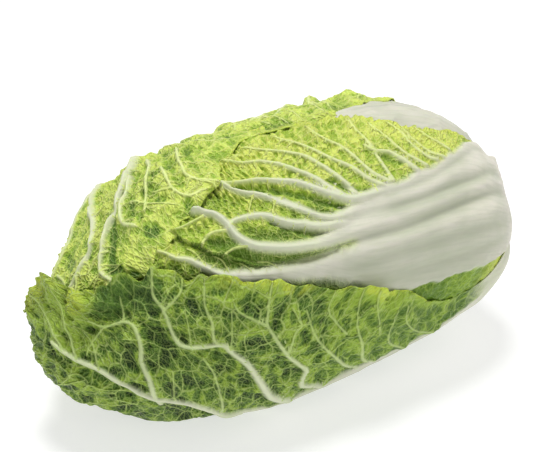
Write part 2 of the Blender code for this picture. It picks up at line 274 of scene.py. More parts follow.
def soften(top, sigma):
    freq = np.fft.rfftfreq(NA) * 2 * math.pi
    out = np.empty_like(top)
    for i, u in enumerate(GRID_U):
        s = sigma / (girth(u) * 2 * math.pi / NA)
        out[i] = np.fft.irfft(np.fft.rfft(top[i]) * np.exp(-0.5 * (freq * s) ** 2), NA)
    s = sigma / (LENGTH / NU * 1.2)
    r = int(3 * s) + 1
    kernel = np.exp(-0.5 * (np.arange(-r, r + 1) / s) ** 2)
    kernel /= kernel.sum()
    padded = np.concatenate([np.roll(out[:r][::-1], NA // 2, axis=1), out,
                             np.roll(out[-r:][::-1], NA // 2, axis=1)])
    return sum(k * padded[j:j + NU] for j, k in enumerate(kernel))


def sample(field, u, angle):
    """Smooth (cubic) reading of a stacking grid."""
    pad = 3
    f = np.concatenate([np.roll(field[:pad][::-1], NA // 2, axis=1), field,
                        np.roll(field[-pad:][::-1], NA // 2, axis=1)])
    fu = np.clip(u * NU - 0.5, -1.5, NU + 0.5) + pad
    fa = (np.degrees(angle) + 180) / 360 * NA - 0.5
    i, j = np.floor(fu).astype(int), np.floor(fa).astype(int)

    def weights(w):
        return ((1 - w) ** 3 / 6, (3 * w ** 3 - 6 * w ** 2 + 4) / 6,
                (-3 * w ** 3 + 3 * w ** 2 + 3 * w + 1) / 6, w ** 3 / 6)
    wu, wa = weights(fu - i), weights(fa - j)
    out = 0
    for a in range(4):
        for b in range(4):
            out = out + wu[a] * wa[b] * f[np.clip(i + a - 1, 0, len(f) - 1), (j + b - 1) % NA]
    return out


def stack():
    top = np.zeros((NU, NA))
    unders, covers, belows = {}, {}, {}
    for name in ORDER:
        t, v = np.linspace(0, 1, 260), np.linspace(-1, 1, 200)
        u, angle = leaf_place(STATIONS[name], t, v)
        under = soften(swell(top, 0.0085), 0.0035) + GAP
        unders[name] = under
        belows[name] = top.copy()
        i = np.clip((u * NU).astype(int), 0, NU - 1)
        j = ((np.degrees(angle) + 180) / 360 * NA).astype(int) % NA
        thick = np.zeros((NU, NA))
        tt, vv = np.meshgrid(t, v, indexing="ij")
        np.maximum.at(thick, (i, j), thickness(tt, vv))
        covers[name] = (thick > 0).astype(float)
        top = np.where(thick > 0, under + thick, top)
    return unders, covers, belows, top


UNDERS, COVERS, BELOWS, TOTAL = stack()
HEART_DROP = soften(swell(TOTAL, 0.01), 0.02)
OUTSIDE = TOTAL - HEART_DROP


def placed(p, u, angle):
    """From the head's own place to the row's frame, with the underside pressed
    flat."""
    outer = head_point(u, angle, sample(OUTSIDE, u, angle))
    deep = -AXIS_HEIGHT - outer[..., 2]
    lift = 0.5 * (deep + np.sqrt(deep ** 2 + SETTLE ** 2))
    lift = np.where((np.cos(angle) < 0) & (deep > -0.02), lift, 0)
    q = p.copy()
    q[..., 2] += lift + AXIS_HEIGHT
    q[..., 0] += CENTRE_X
    q[..., 1] += CENTRE_Y
    return q


# -------------------------------------------------------------------- noise
def hash01(i, j, k, seed):
    h = (i.astype(np.int64) * 374761393 + j.astype(np.int64) * 668265263
         + k.astype(np.int64) * 2147483647 + seed * 1274126177) & 0xFFFFFFFF
    h = ((h ^ (h >> 13)) * 1274126177) & 0xFFFFFFFF
    h = ((h ^ (h >> 16)) * 2246822519) & 0xFFFFFFFF
    return ((h ^ (h >> 15)) & 0xFFFFFF) / 16777216.0


def noise(p, size, seed):
    """Smooth noise, -1..1, with features of this size, at points in mm."""
    q = p / size
    i = np.floor(q).astype(np.int64)
    f = q - i
    f = f * f * f * (f * (f * 6 - 15) + 10)
    out = 0
    for a in (0, 1):
        for b in (0, 1):
            for c in (0, 1):
                w = ((f[..., 0] if a else 1 - f[..., 0]) * (f[..., 1] if b else 1 - f[..., 1])
                     * (f[..., 2] if c else 1 - f[..., 2]))
                out = out + w * hash01(i[..., 0] + a, i[..., 1] + b, i[..., 2] + c, seed)
    return out * 2 - 1


def fbm(p, size, seed, octaves=3, fall=0.5):
    out, amp, total = 0, 1.0, 0
    for o in range(octaves):
        out = out + amp * noise(p, size / 2 ** o, seed + 17 * o)
        total += amp
        amp *= fall
    return out / total


def line_noise(x, size, seed):
    p = np.stack([x, np.full_like(x, 0.37 * size), np.full_like(x, 0.61 * size)], -1)
    return noise(p, size, seed)


def cells(x, y, size, seed, jitter=0.85):
    """Distance in units of size to the nearest edge of a net of cells, and a
    number for the cell."""
    qx, qy = x / size, y / size
    ix, iy = np.floor(qx).astype(np.int64), np.floor(qy).astype(np.int64)
    zero = np.zeros_like(ix)
    best = np.full(qx.shape, 1e9)
    bx = by = bi = bj = None
    pts = {}
    for a in (-2, -1, 0, 1, 2):
        for b in (-2, -1, 0, 1, 2):
            ci, cj = ix + a, iy + b
            sx = ci + 0.5 + jitter * (hash01(ci, cj, zero, seed) - 0.5)
            sy = cj + 0.5 + jitter * (hash01(ci, cj, zero + 1, seed) - 0.5)
            pts[a, b] = (sx, sy)
            d = (sx - qx) ** 2 + (sy - qy) ** 2
            if bx is None:
                bx, by, bi, bj = sx.copy(), sy.copy(), ci.copy(), cj.copy()
                best = d.copy()
            else:
                k = d < best
                best = np.where(k, d, best)
                bx, by = np.where(k, sx, bx), np.where(k, sy, by)
                bi, bj = np.where(k, ci, bi), np.where(k, cj, bj)
    edge = np.full(qx.shape, 1e9)
    for sx, sy in pts.values():
        dx, dy = sx - bx, sy - by
        length = np.hypot(dx, dy)
        ok = length > 1e-6
        e = ((0.5 * (sx + bx) - qx) * dx + (0.5 * (sy + by) - qy) * dy) / np.where(ok, length, 1)
        edge = np.where(ok, np.minimum(edge, e), edge)
    return np.clip(edge, 0, None), hash01(bi, bj, zero + 2, seed)


def step(x, a, b):
    w = np.clip((x - a) / (b - a), 0, 1)
    return w * w * (3 - 2 * w)


# --------------------------------------------------------------- leaf grids
def spread(n, marks):
    """n values over the marks' range; marks are (value, density)."""
    at = np.linspace(marks[0][0], marks[-1][0], 2000)
    dens = np.interp(at, [m[0] for m in marks], [m[1] for m in marks])
    total = np.concatenate([[0], np.cumsum(0.5 * (dens[1:] + dens[:-1]))])
    return np.interp(np.linspace(0, total[-1], n), total, at)


class Leaf:
    """A leaf's grid, its arc lengths in mm, and what has been added to it."""

    def __init__(self, name, rows, cols, row_marks=((0, 1), (1, 1)), col_marks=((-1, 1), (1, 1))):
        self.name = name
        self.stations = STATIONS[name]
        self.t = spread(rows, row_marks)
        self.v = spread(cols, col_marks)
        self.u, self.angle = leaf_place(self.stations, self.t, self.v)
        self.tt, self.vv = np.meshgrid(self.t, self.v, indexing="ij")
        self.bare, self.normal = head_frame(self.u, self.angle)
        self.bare = self.bare * 1000
        self.flat, self.flat_n = self.bare.reshape(-1, 3), self.normal.reshape(-1, 3)
        self.under = sample(UNDERS[name] - HEART_DROP, self.u, self.angle)
        self.thick = thickness(self.tt, self.vv)
        below = sample(soften(swell(BELOWS[name], 0.0025), 0.0015) - HEART_DROP, self.u, self.angle)
        self.clear = np.clip(self.under - below, 0, 0.02)
        self.drape = 0                          # how far it lies down on what is below
        self.height = np.zeros_like(self.u)     # relief, mm, outwards
        self.slide = np.zeros_like(self.u)      # shift across the leaf, mm
        du = np.linalg.norm(np.diff(self.bare, axis=0), axis=-1)
        dv = np.linalg.norm(np.diff(self.bare, axis=1), axis=-1)
        self.x = np.concatenate([np.zeros((1, len(self.v))), np.cumsum(du, axis=0)])
        mid = np.argmin(np.abs(self.v))
        y = np.concatenate([np.zeros((len(self.t), 1)), np.cumsum(dv, axis=1)], axis=1)
        self.left = y.copy()
        self.right = y[:, -1:] - y
        self.y = y - y[:, mid:mid + 1]
        self.xm = self.x[:, mid:mid + 1] + 0 * self.x
        self.tip = self.x[-1:] - self.x
        self.edge = np.minimum(np.minimum(self.left, self.right), self.tip)
        outer = np.zeros((NU, NA))
        for other in ORDER[ORDER.index(name) + 1:]:
            outer = np.maximum(outer, COVERS[other])
        self.cover = np.clip(sample(soften(outer, 0.0045), self.u, self.angle), 0, 1)
        self.open = 1 - step(self.cover, 0.50, 0.88)
        self.drape = 0.6 * np.exp(-self.edge / 8) * self.open
        self.deg = np.degrees(self.angle)
        self.data = {}

    def spot(self, u, angle, size, power=2):
        """1 at a place of the head, falling to 0 over size mm."""
        c, _ = head_frame(np.array([u]), np.radians(np.array([float(angle)])))
        d = np.linalg.norm(self.bare - c[0] * 1000, axis=-1)
        return np.exp(-(d / size) ** power)

    def place_tv(self, t, v):
        rails = smooth_rails(self.stations, np.array([t]))[0]
        w = np.array([v * (v - 1) / 2, 1 - v * v, v * (v + 1) / 2])
        p = w @ rails
        return float(np.hypot(*p)), math.degrees(math.atan2(p[1], p[0]))

    def curve(self, points, spacing=1.3):
        """Smooth line through places (u, degrees), as points in mm."""
        pts = np.array(points, float)
        p, _ = head_frame(pts[:, 0], np.radians(pts[:, 1]))
        p = p * 1000
        if len(p) == 2:
            p = np.array([p[0], (p[0] + p[1]) / 2, p[1]])
        full = np.concatenate([[2 * p[0] - p[1]], p, [2 * p[-1] - p[-2]]])
        out = []
        for i in range(len(p) - 1):
            a, b, c, d = full[i:i + 4]
            n = max(2, int(np.linalg.norm(c - b) / spacing))
            for w in np.linspace(0, 1, n, endpoint=False):
                out.append(0.5 * (2 * b + (c - a) * w + (2 * a - 5 * b + 4 * c - d) * w ** 2
                                  + (3 * b - a - 3 * c + d) * w ** 3))
        out.append(p[-1])
        return np.array(out)

    def line_field(self, points, reach=11.0, spacing=1.3):
        """For each place of the grid within reach of a line: the distance in
        mm, the share of the way along it, the side (-1 or 1) and the mm run
        along it.  Far elsewhere."""
        c = self.curve(points, spacing)
        n = len(c) - 1
        run = np.concatenate([[0], np.cumsum(np.linalg.norm(np.diff(c, axis=0), axis=1))])
        flat, nrm = self.flat, self.flat_n
        dist = np.full(len(flat), 1e3)
        share, side, arc = np.zeros(len(flat)), np.ones(len(flat)), np.zeros(len(flat))
        for s0 in range(0, n, 8):
            cc = c[s0:min(n, s0 + 8) + 1]
            lo, hi = cc.min(0) - reach, cc.max(0) + reach
            k = np.nonzero((flat[:, 0] > lo[0]) & (flat[:, 0] < hi[0]) & (flat[:, 1] > lo[1])
                           & (flat[:, 1] < hi[1]) & (flat[:, 2] > lo[2]) & (flat[:, 2] < hi[2]))[0]
            if not len(k):
                continue
            q = flat[k][:, None]
            ab = np.diff(cc, axis=0)
            off = q - cc[None, :-1]
            w = np.clip((off * ab[None]).sum(-1) / ((ab * ab).sum(-1) + 1e-9), 0, 1)
            off = off - w[..., None] * ab[None]
            d = np.sqrt((off ** 2).sum(-1))
            j = d.argmin(1)
            row = np.arange(len(k))
            best = d[row, j]
            near = best < dist[k]
            kk, jj, row = k[near], j[near], row[near]
            dist[kk] = best[near]
            share[kk] = (s0 + jj + w[row, jj]) / n
            arc[kk] = run[s0 + jj] + w[row, jj] * (run[s0 + jj + 1] - run[s0 + jj])
            side[kk] = np.where((np.cross(ab[jj], off[row, jj]) * nrm[kk]).sum(-1) < 0, -1, 1)
        shape = self.u.shape
        return (dist.reshape(shape), share.reshape(shape), side.reshape(shape),
                arc.reshape(shape))

    def veins(self, lines):
        """Adds ribs.  A line is (places, half width at its start and end,
        height at its start and end).  Keeps the distance in mm to the nearest,
        that distance over its half width, the mm run along it, how pale it is,
        and the ridge they all make."""
        shape = self.u.shape
        self.dist, self.rel = np.full(shape, 1e3), np.full(shape, 50.0)
        self.signed, self.arc = np.full(shape, 50.0), np.zeros(shape)
        self.pale, self.ridge = np.zeros(shape), np.zeros(shape)
        for i, (points, w0, w1, h0, h1) in enumerate(lines):
            d, share, side, arc = self.line_field(points)
            half = w0 + (w1 - w0) * share
            r = d / half
            near = r < self.rel
            self.rel = np.where(near, r, self.rel)
            self.signed = np.where(near, r * side, self.signed)
            self.arc = np.where(near, arc + 31.7 * i, self.arc)
            self.pale = np.where(near, np.clip((half - 0.45) / 2.4, 0, 1), self.pale)
            self.dist = np.minimum(self.dist, d)
            tall = h0 + (h1 - h0) * share
            if w1 > 2.5:
                tall = tall * step(share, 1.0, 0.82)
            bump = tall * np.exp(-np.abs(d / (half * 1.35)) ** 1.7)
            self.ridge = np.maximum(self.ridge, bump) + 0.25 * np.minimum(self.ridge, bump)

    def region(self, points):
        """Signed distance in mm to a closed outline given by places, positive
        inside it."""
        c = self.curve(list(points) + [points[0]], 3.0)
        d = np.full(self.u.shape, 1e3)
        for i in range(len(c) - 1):
            a, b = c[i], c[i + 1]
            ab = b - a
            q = self.bare - a
            w = np.clip((q @ ab) / (ab @ ab + 1e-9), 0, 1)
            d = np.minimum(d, np.linalg.norm(q - w[..., None] * ab, axis=-1))
        uu = [p[0] for p in points]
        aa = [p[1] for p in points]
        x, y = self.u, np.degrees(self.angle)
        y = np.where(y < min(aa) - 90, y + 360, y)
        inside = np.zeros(self.u.shape, bool)
        n = len(points)
        for i in range(n):
            x0, y0, x1, y1 = uu[i], aa[i], uu[(i + 1) % n], aa[(i + 1) % n]
            if y0 == y1:
                continue
            crosses = ((y0 > y) != (y1 > y)) & (x < (x1 - x0) * (y - y0) / (y1 - y0) + x0)
            inside ^= crosses
        return np.where(inside, d, -d)

    def finish(self, material, rim=0.7, inside=1.5, block=4):
        """The closed shell.  Its inner side follows the outer one finely near
        the margins, and is coarse where it is hidden."""
        base = self.under + self.thick - self.drape * np.clip(self.clear - 0.0008, 0, 0.02)
        # a dent never goes through the leaf below
        room = (self.thick + GAP) * 1000 * 0.8 + 0.3
        dent = np.minimum(self.height, 0)
        h = (np.maximum(self.height, 0) + room * np.tanh(dent / room)) * 0.001 * self.open
        p, nrm = head_frame(self.u, self.angle)
        across = np.gradient(self.bare, axis=1)
        across /= np.linalg.norm(across, axis=-1, keepdims=True) + 1e-9
        outer = placed(p + (base + h)[..., None] * nrm + across * self.slide[..., None] * 0.001,
                       self.u, self.angle)
        depth = (rim + (inside - rim) * step(self.edge, 2, 14)) * 0.001
        inner = placed(p + (base + h - depth)[..., None] * nrm
                       + across * self.slide[..., None] * 0.001, self.u, self.angle)
        outer[..., 2] = np.maximum(outer[..., 2], 0.0)
        inner[..., 2] = np.maximum(inner[..., 2], 0.0006)
        return shell(self.name + "_skin", outer, inner, nrm, self.data, material, block)


def shell(name, outer, inner, normals, data, material, block):
    n, m = outer.shape[:2]
    a = np.arange(n * m).reshape(n, m)
    b = a + n * m
    quads = [np.stack([a[:-1, :-1], a[1:, :-1], a[1:, 1:], a[:-1, 1:]], -1).reshape(-1, 4)]
    rim = 10
    nb, mb = (n - 1 - 2 * rim) // block, (m - 1 - 2 * rim) // block
    r1, c1 = rim + nb * block, rim + mb * block
    fine = np.ones((n - 1, m - 1), bool)
    fine[rim:r1, rim:c1] = False
    i, j = np.nonzero(fine)
    quads.append(np.stack([b[i, j + 1], b[i + 1, j + 1], b[i + 1, j], b[i, j]], -1))
    ring = np.concatenate([a[:, 0], a[-1, 1:], a[:-1, -1][::-1], a[0, 1:-1][::-1]])
    nxt = np.roll(ring, -1)
    quads.append(np.stack([nxt, ring, ring + n * m, nxt + n * m], -1))
    quads = np.concatenate(quads)
    others = []
    for bi in range(nb):
        for bj in range(mb):
            i0, j0 = rim + bi * block, rim + bj * block
            i1, j1 = i0 + block, j0 + block
            loop = []
            loop += [b[i0, j] for j in (range(j0, j1) if bi == 0 else (j0,))]
            loop += [b[i, j1] for i in (range(i0, i1) if bj == mb - 1 else (i0,))]
            loop += [b[i1, j] for j in (range(j1, j0, -1) if bi == nb - 1 else (j1,))]
            loop += [b[i, j0] for i in (range(i1, i0, -1) if bj == 0 else (i1,))]
            others.append(loop)
    verts = np.concatenate([outer.reshape(-1, 3), inner.reshape(-1, 3)])
    sizes = np.concatenate([np.full(len(quads), 4), [len(o) for o in others]]).astype(np.int32)
    loops = np.concatenate([quads.reshape(-1), np.concatenate(others)]).astype(np.int64)
    # outward: compare one face in the middle with its normal
    mi, mj = n // 2, m // 2
    e1, e2 = outer[mi + 1, mj] - outer[mi, mj], outer[mi, mj + 1] - outer[mi, mj]
    starts = np.concatenate([[0], np.cumsum(sizes)[:-1]])
    if np.dot(np.cross(e1, e2), normals[mi, mj]) < 0:
        flipped = np.empty_like(loops)
        at = np.repeat(starts, sizes)
        off = np.arange(len(loops)) - at
        flipped = loops[at + np.repeat(sizes, sizes) - 1 - off]
        loops = flipped
    used = np.zeros(len(verts), bool)
    used[loops] = True
    remap = np.cumsum(used) - 1
    mesh = bpy.data.meshes.new(name)
    mesh.vertices.add(int(used.sum()))
    mesh.vertices.foreach_set("co", verts[used].astype(np.float32).reshape(-1))
    mesh.loops.add(len(loops))
    mesh.loops.foreach_set("vertex_index", remap[loops].astype(np.int32))
    mesh.polygons.add(len(sizes))
    mesh.polygons.foreach_set("loop_start", starts.astype(np.int32))
    mesh.polygons.foreach_set("use_smooth", np.ones(len(sizes), bool))
    mesh.update(calc_edges=True)
    mesh.validate()
    for key, value in data.items():
        value = np.asarray(value, float)
        if value.ndim == 3:
            flat = np.concatenate([value.reshape(-1, 3)] * 2)[used]
            at = mesh.attributes.new(key, "FLOAT_VECTOR", "POINT")
            at.data.foreach_set("vector", flat.astype(np.float32).reshape(-1))
        else:
            flat = np.concatenate([value.reshape(-1)] * 2)[used]
            at = mesh.attributes.new(key, "FLOAT", "POINT")
            at.data.foreach_set("value", flat.astype(np.float32))
    ob = bpy.data.objects.new(name, mesh)
    mesh.materials.append(material)
    bpy.context.scene.collection.objects.link(ob)
    return ob


# ---------------------------------------------------------------- materials
def lin(r, g, b):
    """Linear colour from display values 0..255."""
    return tuple(((c / 255) / 12.92 if c / 255 <= 0.04045 else ((c / 255 + 0.055) / 1.055) ** 2.4)
                 for c in (r, g, b)) + (1.0,)


class Nodes:
    """Short ways to add shader nodes."""

    def __init__(self, name):
        self.material = bpy.data.materials.new(name)
        self.material.use_nodes = True
        self.tree = self.material.node_tree
        self.bsdf = self.tree.nodes["Principled BSDF"]

    def add(self, kind, **settings):
        node = self.tree.nodes.new(kind)
        for key, value in settings.items():
            setattr(node, key, value)
        return node

    def put(self, socket, value):
        if isinstance(value, bpy.types.NodeSocket):
            self.tree.links.new(value, socket)
        elif value is not None:
            socket.default_value = value

    def attribute(self, name, vector=False):
        node = self.add("ShaderNodeAttribute", attribute_name=name)
        return node.outputs["Vector" if vector else "Fac"]

    def math(self, op, a, b=None, c=None, clamp=False):
        node = self.add("ShaderNodeMath", operation=op, use_clamp=clamp)
        for socket, value in zip(node.inputs, (a, b, c)):
            self.put(socket, value)
        return node.outputs[0]

    def ramp(self, x, a, b, c=0.0, d=1.0, smooth=True):
        node = self.add("ShaderNodeMapRange",
                        interpolation_type="SMOOTHSTEP" if smooth else "LINEAR")
        for i, value in enumerate((x, a, b, c, d)):
            self.put(node.inputs[i], value)
        return node.outputs[0]

    def mix(self, fac, a, b, blend="MIX"):
        node = self.add("ShaderNodeMix", data_type="RGBA", blend_type=blend)
        self.put(node.inputs["Factor"], fac)
        self.put(node.inputs[6], a)
        self.put(node.inputs[7], b)
        return node.outputs[2]

    def noise(self, vector, scale, detail=3.0, rough=0.5, distortion=0.0):
        node = self.add("ShaderNodeTexNoise")
        self.put(node.inputs["Vector"], vector)
        node.inputs["Scale"].default_value = scale
        node.inputs["Detail"].default_value = detail
        node.inputs["Roughness"].default_value = rough
        node.inputs["Distortion"].default_value = distortion
        return node.outputs[0]

    def stretch(self, vector, x, y, z=1.0):
        node = self.add("ShaderNodeVectorMath", operation="MULTIPLY")
        self.put(node.inputs[0], vector)
        node.inputs[1].default_value = (x, y, z)
        return node.outputs[0]

    def warp(self, vector, scale, amount):
        n = self.add("ShaderNodeTexNoise")
        self.put(n.inputs["Vector"], vector)
        n.inputs["Scale"].default_value = scale
        n.inputs["Detail"].default_value = 2.0
        c = self.add("ShaderNodeVectorMath", operation="SUBTRACT")
        self.put(c.inputs[0], n.outputs["Color"])
        c.inputs[1].default_value = (0.5, 0.5, 0.5)
        s = self.add("ShaderNodeVectorMath", operation="SCALE")
        self.put(s.inputs[0], c.outputs[0])
        s.inputs["Scale"].default_value = amount
        a = self.add("ShaderNodeVectorMath", operation="ADD")
        self.put(a.inputs[0], vector)
        self.put(a.inputs[1], s.outputs[0])
        return a.outputs[0]

    def net(self, vector, scale, randomness=0.9):
        """Distance to the edge of a net of cells, in units of a cell."""
        node = self.add("ShaderNodeTexVoronoi", feature="DISTANCE_TO_EDGE",
                        voronoi_dimensions="2D")
        self.put(node.inputs["Vector"], vector)
        node.inputs["Scale"].default_value = scale
        node.inputs["Randomness"].default_value = randomness
        return node.outputs["Distance"]

    def bump(self, height, distance, strength=1.0, normal=None):
        node = self.add("ShaderNodeBump")
        node.inputs["Strength"].default_value = strength
        node.inputs["Distance"].default_value = distance
        self.put(node.inputs["Height"], height)
        self.put(node.inputs["Normal"], normal)
        return node.outputs[0]


def leaf_material(name, dark, mid, light, vein, net, rim, rib, rib_streak_and_shade, net_scale=0.11,
                  net_strength=0.6, small_strength=0.35, relief=1.0, rough=0.5, fine=1.0):
    """Leaf skin.  The vertex data give where the white rib, the veins and the
    margin are; the net of the finer veins is worked out here."""
    g = Nodes(name)
    xy = g.attribute("leaf_xy", True)
    tone = g.attribute("tone")
    # relief data: painted shade in the hollows and painted light on the crests
    deep = g.attribute("relief")
    signed = g.attribute("vein_signed")
    far = g.attribute("vein_far")
    pale = g.attribute("pale")
    netted = g.attribute("netted")
    ribm = g.attribute("rib")
    rimm = g.attribute("rim")
    painted_shade = g.attribute("painted_shade")
    # veins: exact on their middle line, and off between two of them
    across = g.math("ABSOLUTE", signed)
    limit = g.ramp(pale, 0.0, 0.22, 2.1, 1.3)
    close = g.ramp(far, limit, g.math("ADD", limit, 0.9), 1.0, 0.0)
    vein_line = g.math("MULTIPLY", g.ramp(across, 0.45, g.ramp(pale, 0.0, 0.5, 1.4, 1.9), 1.0, 0.0), close)
    vein_soft = g.math("MULTIPLY", g.ramp(across, 0.0, 2.2, 1.0, 0.0), close)
    blade = g.math("SUBTRACT", 1.0, ribm, clamp=True)
    off_vein = g.math("SUBTRACT", 1.0, vein_line, clamp=True)
    # nets of finer veins
    wander = g.warp(xy, 0.10, 3.6)
    net1 = g.net(wander, net_scale)
    net2 = g.net(g.warp(xy, 0.22, 2.0), net_scale * 2.4)
    net3 = g.net(g.warp(xy, 0.5, 1.0), net_scale * 5.5)
    patch = g.ramp(g.noise(xy, 0.07, 2.0), 0.30, 0.62)
    line1 = g.math("MULTIPLY", g.ramp(net1, 0.014, 0.068, 1.0, 0.0), g.math("MULTIPLY_ADD", patch, 0.5, 0.5))
    line1 = g.math("MULTIPLY", line1, netted)
    line2 = g.math("MULTIPLY", g.ramp(net2, 0.015, 0.100, 1.0, 0.0), patch)
    line2 = g.math("MULTIPLY", line2, netted)
    line3 = g.math("MULTIPLY", g.ramp(net3, 0.02, 0.20, 1.0, 0.0), netted)
    # the blade is dimpled between the veins of every size
    pit1 = g.ramp(net1, 0.0, 0.30)
    pit2 = g.ramp(net2, 0.0, 0.34)
    pit3 = g.ramp(net3, 0.0, 0.40)
    cloud = g.noise(xy, 0.05, 4.0, 0.6)
    grain = g.noise(g.warp(xy, 0.6, 1.2), 0.30, 4.0, 0.6)
    # blade colour: tone from dark to light, with painted shade in the hollows and the dimples and painted light on
    # the crests of the relief
    f = g.math("MULTIPLY", g.math("SUBTRACT", cloud, 0.5), 0.45)
    f = g.math("ADD", f, g.math("MULTIPLY", g.math("SUBTRACT", deep, 0.5), 1.05))
    f = g.math("ADD", f, g.math("MULTIPLY", g.math("SUBTRACT", 0.60, pit1), 0.20))
    f = g.math("ADD", f, g.math("MULTIPLY", g.math("SUBTRACT", 0.60, pit2), 0.16))
    f = g.math("ADD", f, g.math("MULTIPLY", g.math("SUBTRACT", 0.60, pit3), 0.10 * fine))
    f = g.math("ADD", f, g.math("MULTIPLY", g.math("SUBTRACT", grain, 0.5), 0.45 * fine))
    f = g.math("MULTIPLY_ADD", f, g.ramp(netted, 0.0, 1.0, 0.40, 1.0), tone)
    colour = g.mix(g.ramp(f, 0.05, 0.50), dark, mid)
    colour = g.mix(g.ramp(f, 0.48, 0.98), colour, light)
    colour = g.mix(g.math("MULTIPLY", g.ramp(rimm, 0.20, 0.85), 0.80), colour, rim)
    colour = g.mix(g.math("MULTIPLY", line3, 0.45 * small_strength), colour, net)
    colour = g.mix(g.math("MULTIPLY", line2, small_strength), colour, net)
    colour = g.mix(g.math("MULTIPLY", line1, net_strength), colour, net)
    # a thick vein pales the blade beside it
    beside = g.math("MULTIPLY", g.math("MULTIPLY", g.ramp(across, 0.8, 2.4, 1.0, 0.0), close), pale)
    colour = g.mix(g.math("MULTIPLY", beside, 0.45), colour, net)
    vein_colour = g.mix(g.ramp(pale, 0.0, 0.60), net, vein)
    colour = g.mix(g.math("MULTIPLY", vein_line, g.ramp(pale, 0.0, 0.30, 0.50, 0.95)), colour, vein_colour)
    # white rib, faintly streaked along its length, with grey-green painted shade in its grooves and on its less lit
    # parts
    streak = g.noise(g.stretch(xy, 0.05, 0.5), 1.0, 3.0, 0.55)
    blotch = g.noise(xy, 0.035, 2.0, 0.5)
    speck = g.noise(g.stretch(xy, 0.5, 1.6), 1.0, 3.0, 0.6)
    ribc = g.mix(g.math("MULTIPLY", g.ramp(streak, 0.40, 0.70), 0.28), rib, rib_streak_and_shade)
    ribc = g.mix(g.math("MULTIPLY", g.ramp(blotch, 0.42, 0.66), 0.30), ribc, rib_streak_and_shade)
    ribc = g.mix(g.math("MULTIPLY", g.ramp(speck, 0.50, 0.75), 0.16), ribc, rib_streak_and_shade)
    # painted shade on the rib
    ribc = g.mix(g.math("MULTIPLY", painted_shade, 0.70), ribc, rib_streak_and_shade)
    colour = g.mix(ribm, colour, ribc)
    g.put(g.bsdf.inputs["Base Color"], colour)
    # relief that is finer than the mesh
    h = g.math("MULTIPLY", pit1, -0.55)
    h = g.math("ADD", h, g.math("MULTIPLY", pit2, -0.85))
    h = g.math("ADD", h, g.math("MULTIPLY", pit3, -0.34 * fine))
    h = g.math("ADD", h, g.math("MULTIPLY", line1, 0.35))
    h = g.math("ADD", h, g.math("MULTIPLY", line2, 0.20))
    h = g.math("ADD", h, g.math("MULTIPLY", grain, 0.8 * fine))
    h = g.math("MULTIPLY", h, g.ramp(netted, 0.0, 1.0, relief * 0.45, relief))
    h = g.math("MULTIPLY", h, g.math("MULTIPLY", blade, off_vein))
    h = g.math("ADD", h, g.math("MULTIPLY", g.math("MULTIPLY", vein_soft, 0.6), blade))
    h = g.math("ADD", h, g.math("MULTIPLY", streak, 0.10))
    h = g.math("ADD", h, g.math("MULTIPLY", speck, 0.05))
    g.put(g.bsdf.inputs["Normal"], g.bump(h, 0.001))
    g.put(g.bsdf.inputs["Roughness"],
          g.ramp(g.noise(xy, 0.35, 2.0), 0.3, 0.7, rough - 0.07, rough + 0.10))
    g.bsdf.inputs["Subsurface Weight"].default_value = 0.10
    g.bsdf.inputs["Subsurface Radius"].default_value = (0.6, 1.0, 0.3)
    g.bsdf.inputs["Subsurface Scale"].default_value = 0.0025
    g.bsdf.inputs["Specular IOR Level"].default_value = 0.25
    return g.material


GREEN_DARK = leaf_material(
    "outer_leaf_green", lin(30, 56, 14), lin(74, 108, 28), lin(148, 177, 57),
    lin(208, 212, 182), lin(172, 194, 108), lin(190, 206, 66), lin(204, 204, 184),
    lin(176, 184, 150), net_scale=0.098, net_strength=0.95, small_strength=0.50, fine=0.8)
GREEN_BRIGHT = leaf_material(
    "main_leaf_green", lin(84, 118, 24), lin(146, 175, 50), lin(206, 217, 100),
    lin(204, 207, 182), lin(208, 219, 132), lin(200, 212, 84), lin(221, 216, 203),
    lin(164, 171, 146), net_scale=0.14, net_strength=0.45, small_strength=0.42, relief=0.6, fine=0.3)
GREEN_FOLD = leaf_material(
    "fold_leaf_green", lin(66, 106, 22), lin(137, 172, 46), lin(204, 221, 100),
    lin(208, 212, 180), lin(212, 224, 136), lin(202, 220, 92), lin(206, 204, 186),
    lin(170, 178, 146), net_scale=0.15, net_strength=0.60, small_strength=0.50, relief=0.65, fine=0.35)


# ------------------------------------------------------------- leaf reliefs
def lateral_lines(leaf, count, seed, width=1.0, height=1.2, t0=0.12, t1=0.86, sides=(-1, 1),
                  forks=2):
    """Midrib and side veins of a leaf: they leave the midrib in turn and curve
    towards the tip."""
    rng = np.random.default_rng(seed)
    lines = [([leaf.place_tv(t, 0.03 * math.sin(9 * t)) for t in np.linspace(0.05, 0.93, 9)],
              4.5, 0.8, 1.6, 0.8)]
    for side in sides:
        for i in range(count):
            t = t0 + (t1 - t0) * (i + 0.5 * (side > 0)) / count + rng.normal(0, 0.008)
            climb = rng.uniform(0.10, 0.17) * (1.1 - t * 0.5)
            reach = rng.uniform(0.86, 0.97)
            steps = np.linspace(0.02, 1, 6)
            wig = rng.normal(0, 0.010, 6)
            pts = [(min(0.985, t + climb * q ** 1.25 + w), side * reach * q)
                   for q, w in zip(steps, wig)]
            lines.append(([leaf.place_tv(*p) for p in pts], width * 1.7, width * 0.6,
                          height * 1.2, height * 0.4))
            for _ in range(forks):
                q = rng.uniform(0.25, 0.85)
                ta, va = t + climb * q ** 1.25, side * reach * q
                out = rng.choice([-1, 1])
                tb = min(0.985, ta + (0.07 if out > 0 else 0.015))
                vb = va + side * rng.uniform(0.12, 0.3)
                vb = max(-0.96, min(0.96, vb))
                lines.append(([leaf.place_tv(ta, va),
                               leaf.place_tv((ta + tb) / 2 + 0.01 * out, (va + vb) / 2),
                               leaf.place_tv(tb, vb)], width * 0.8, width * 0.5,
                              height * 0.6, height * 0.3))
    return lines


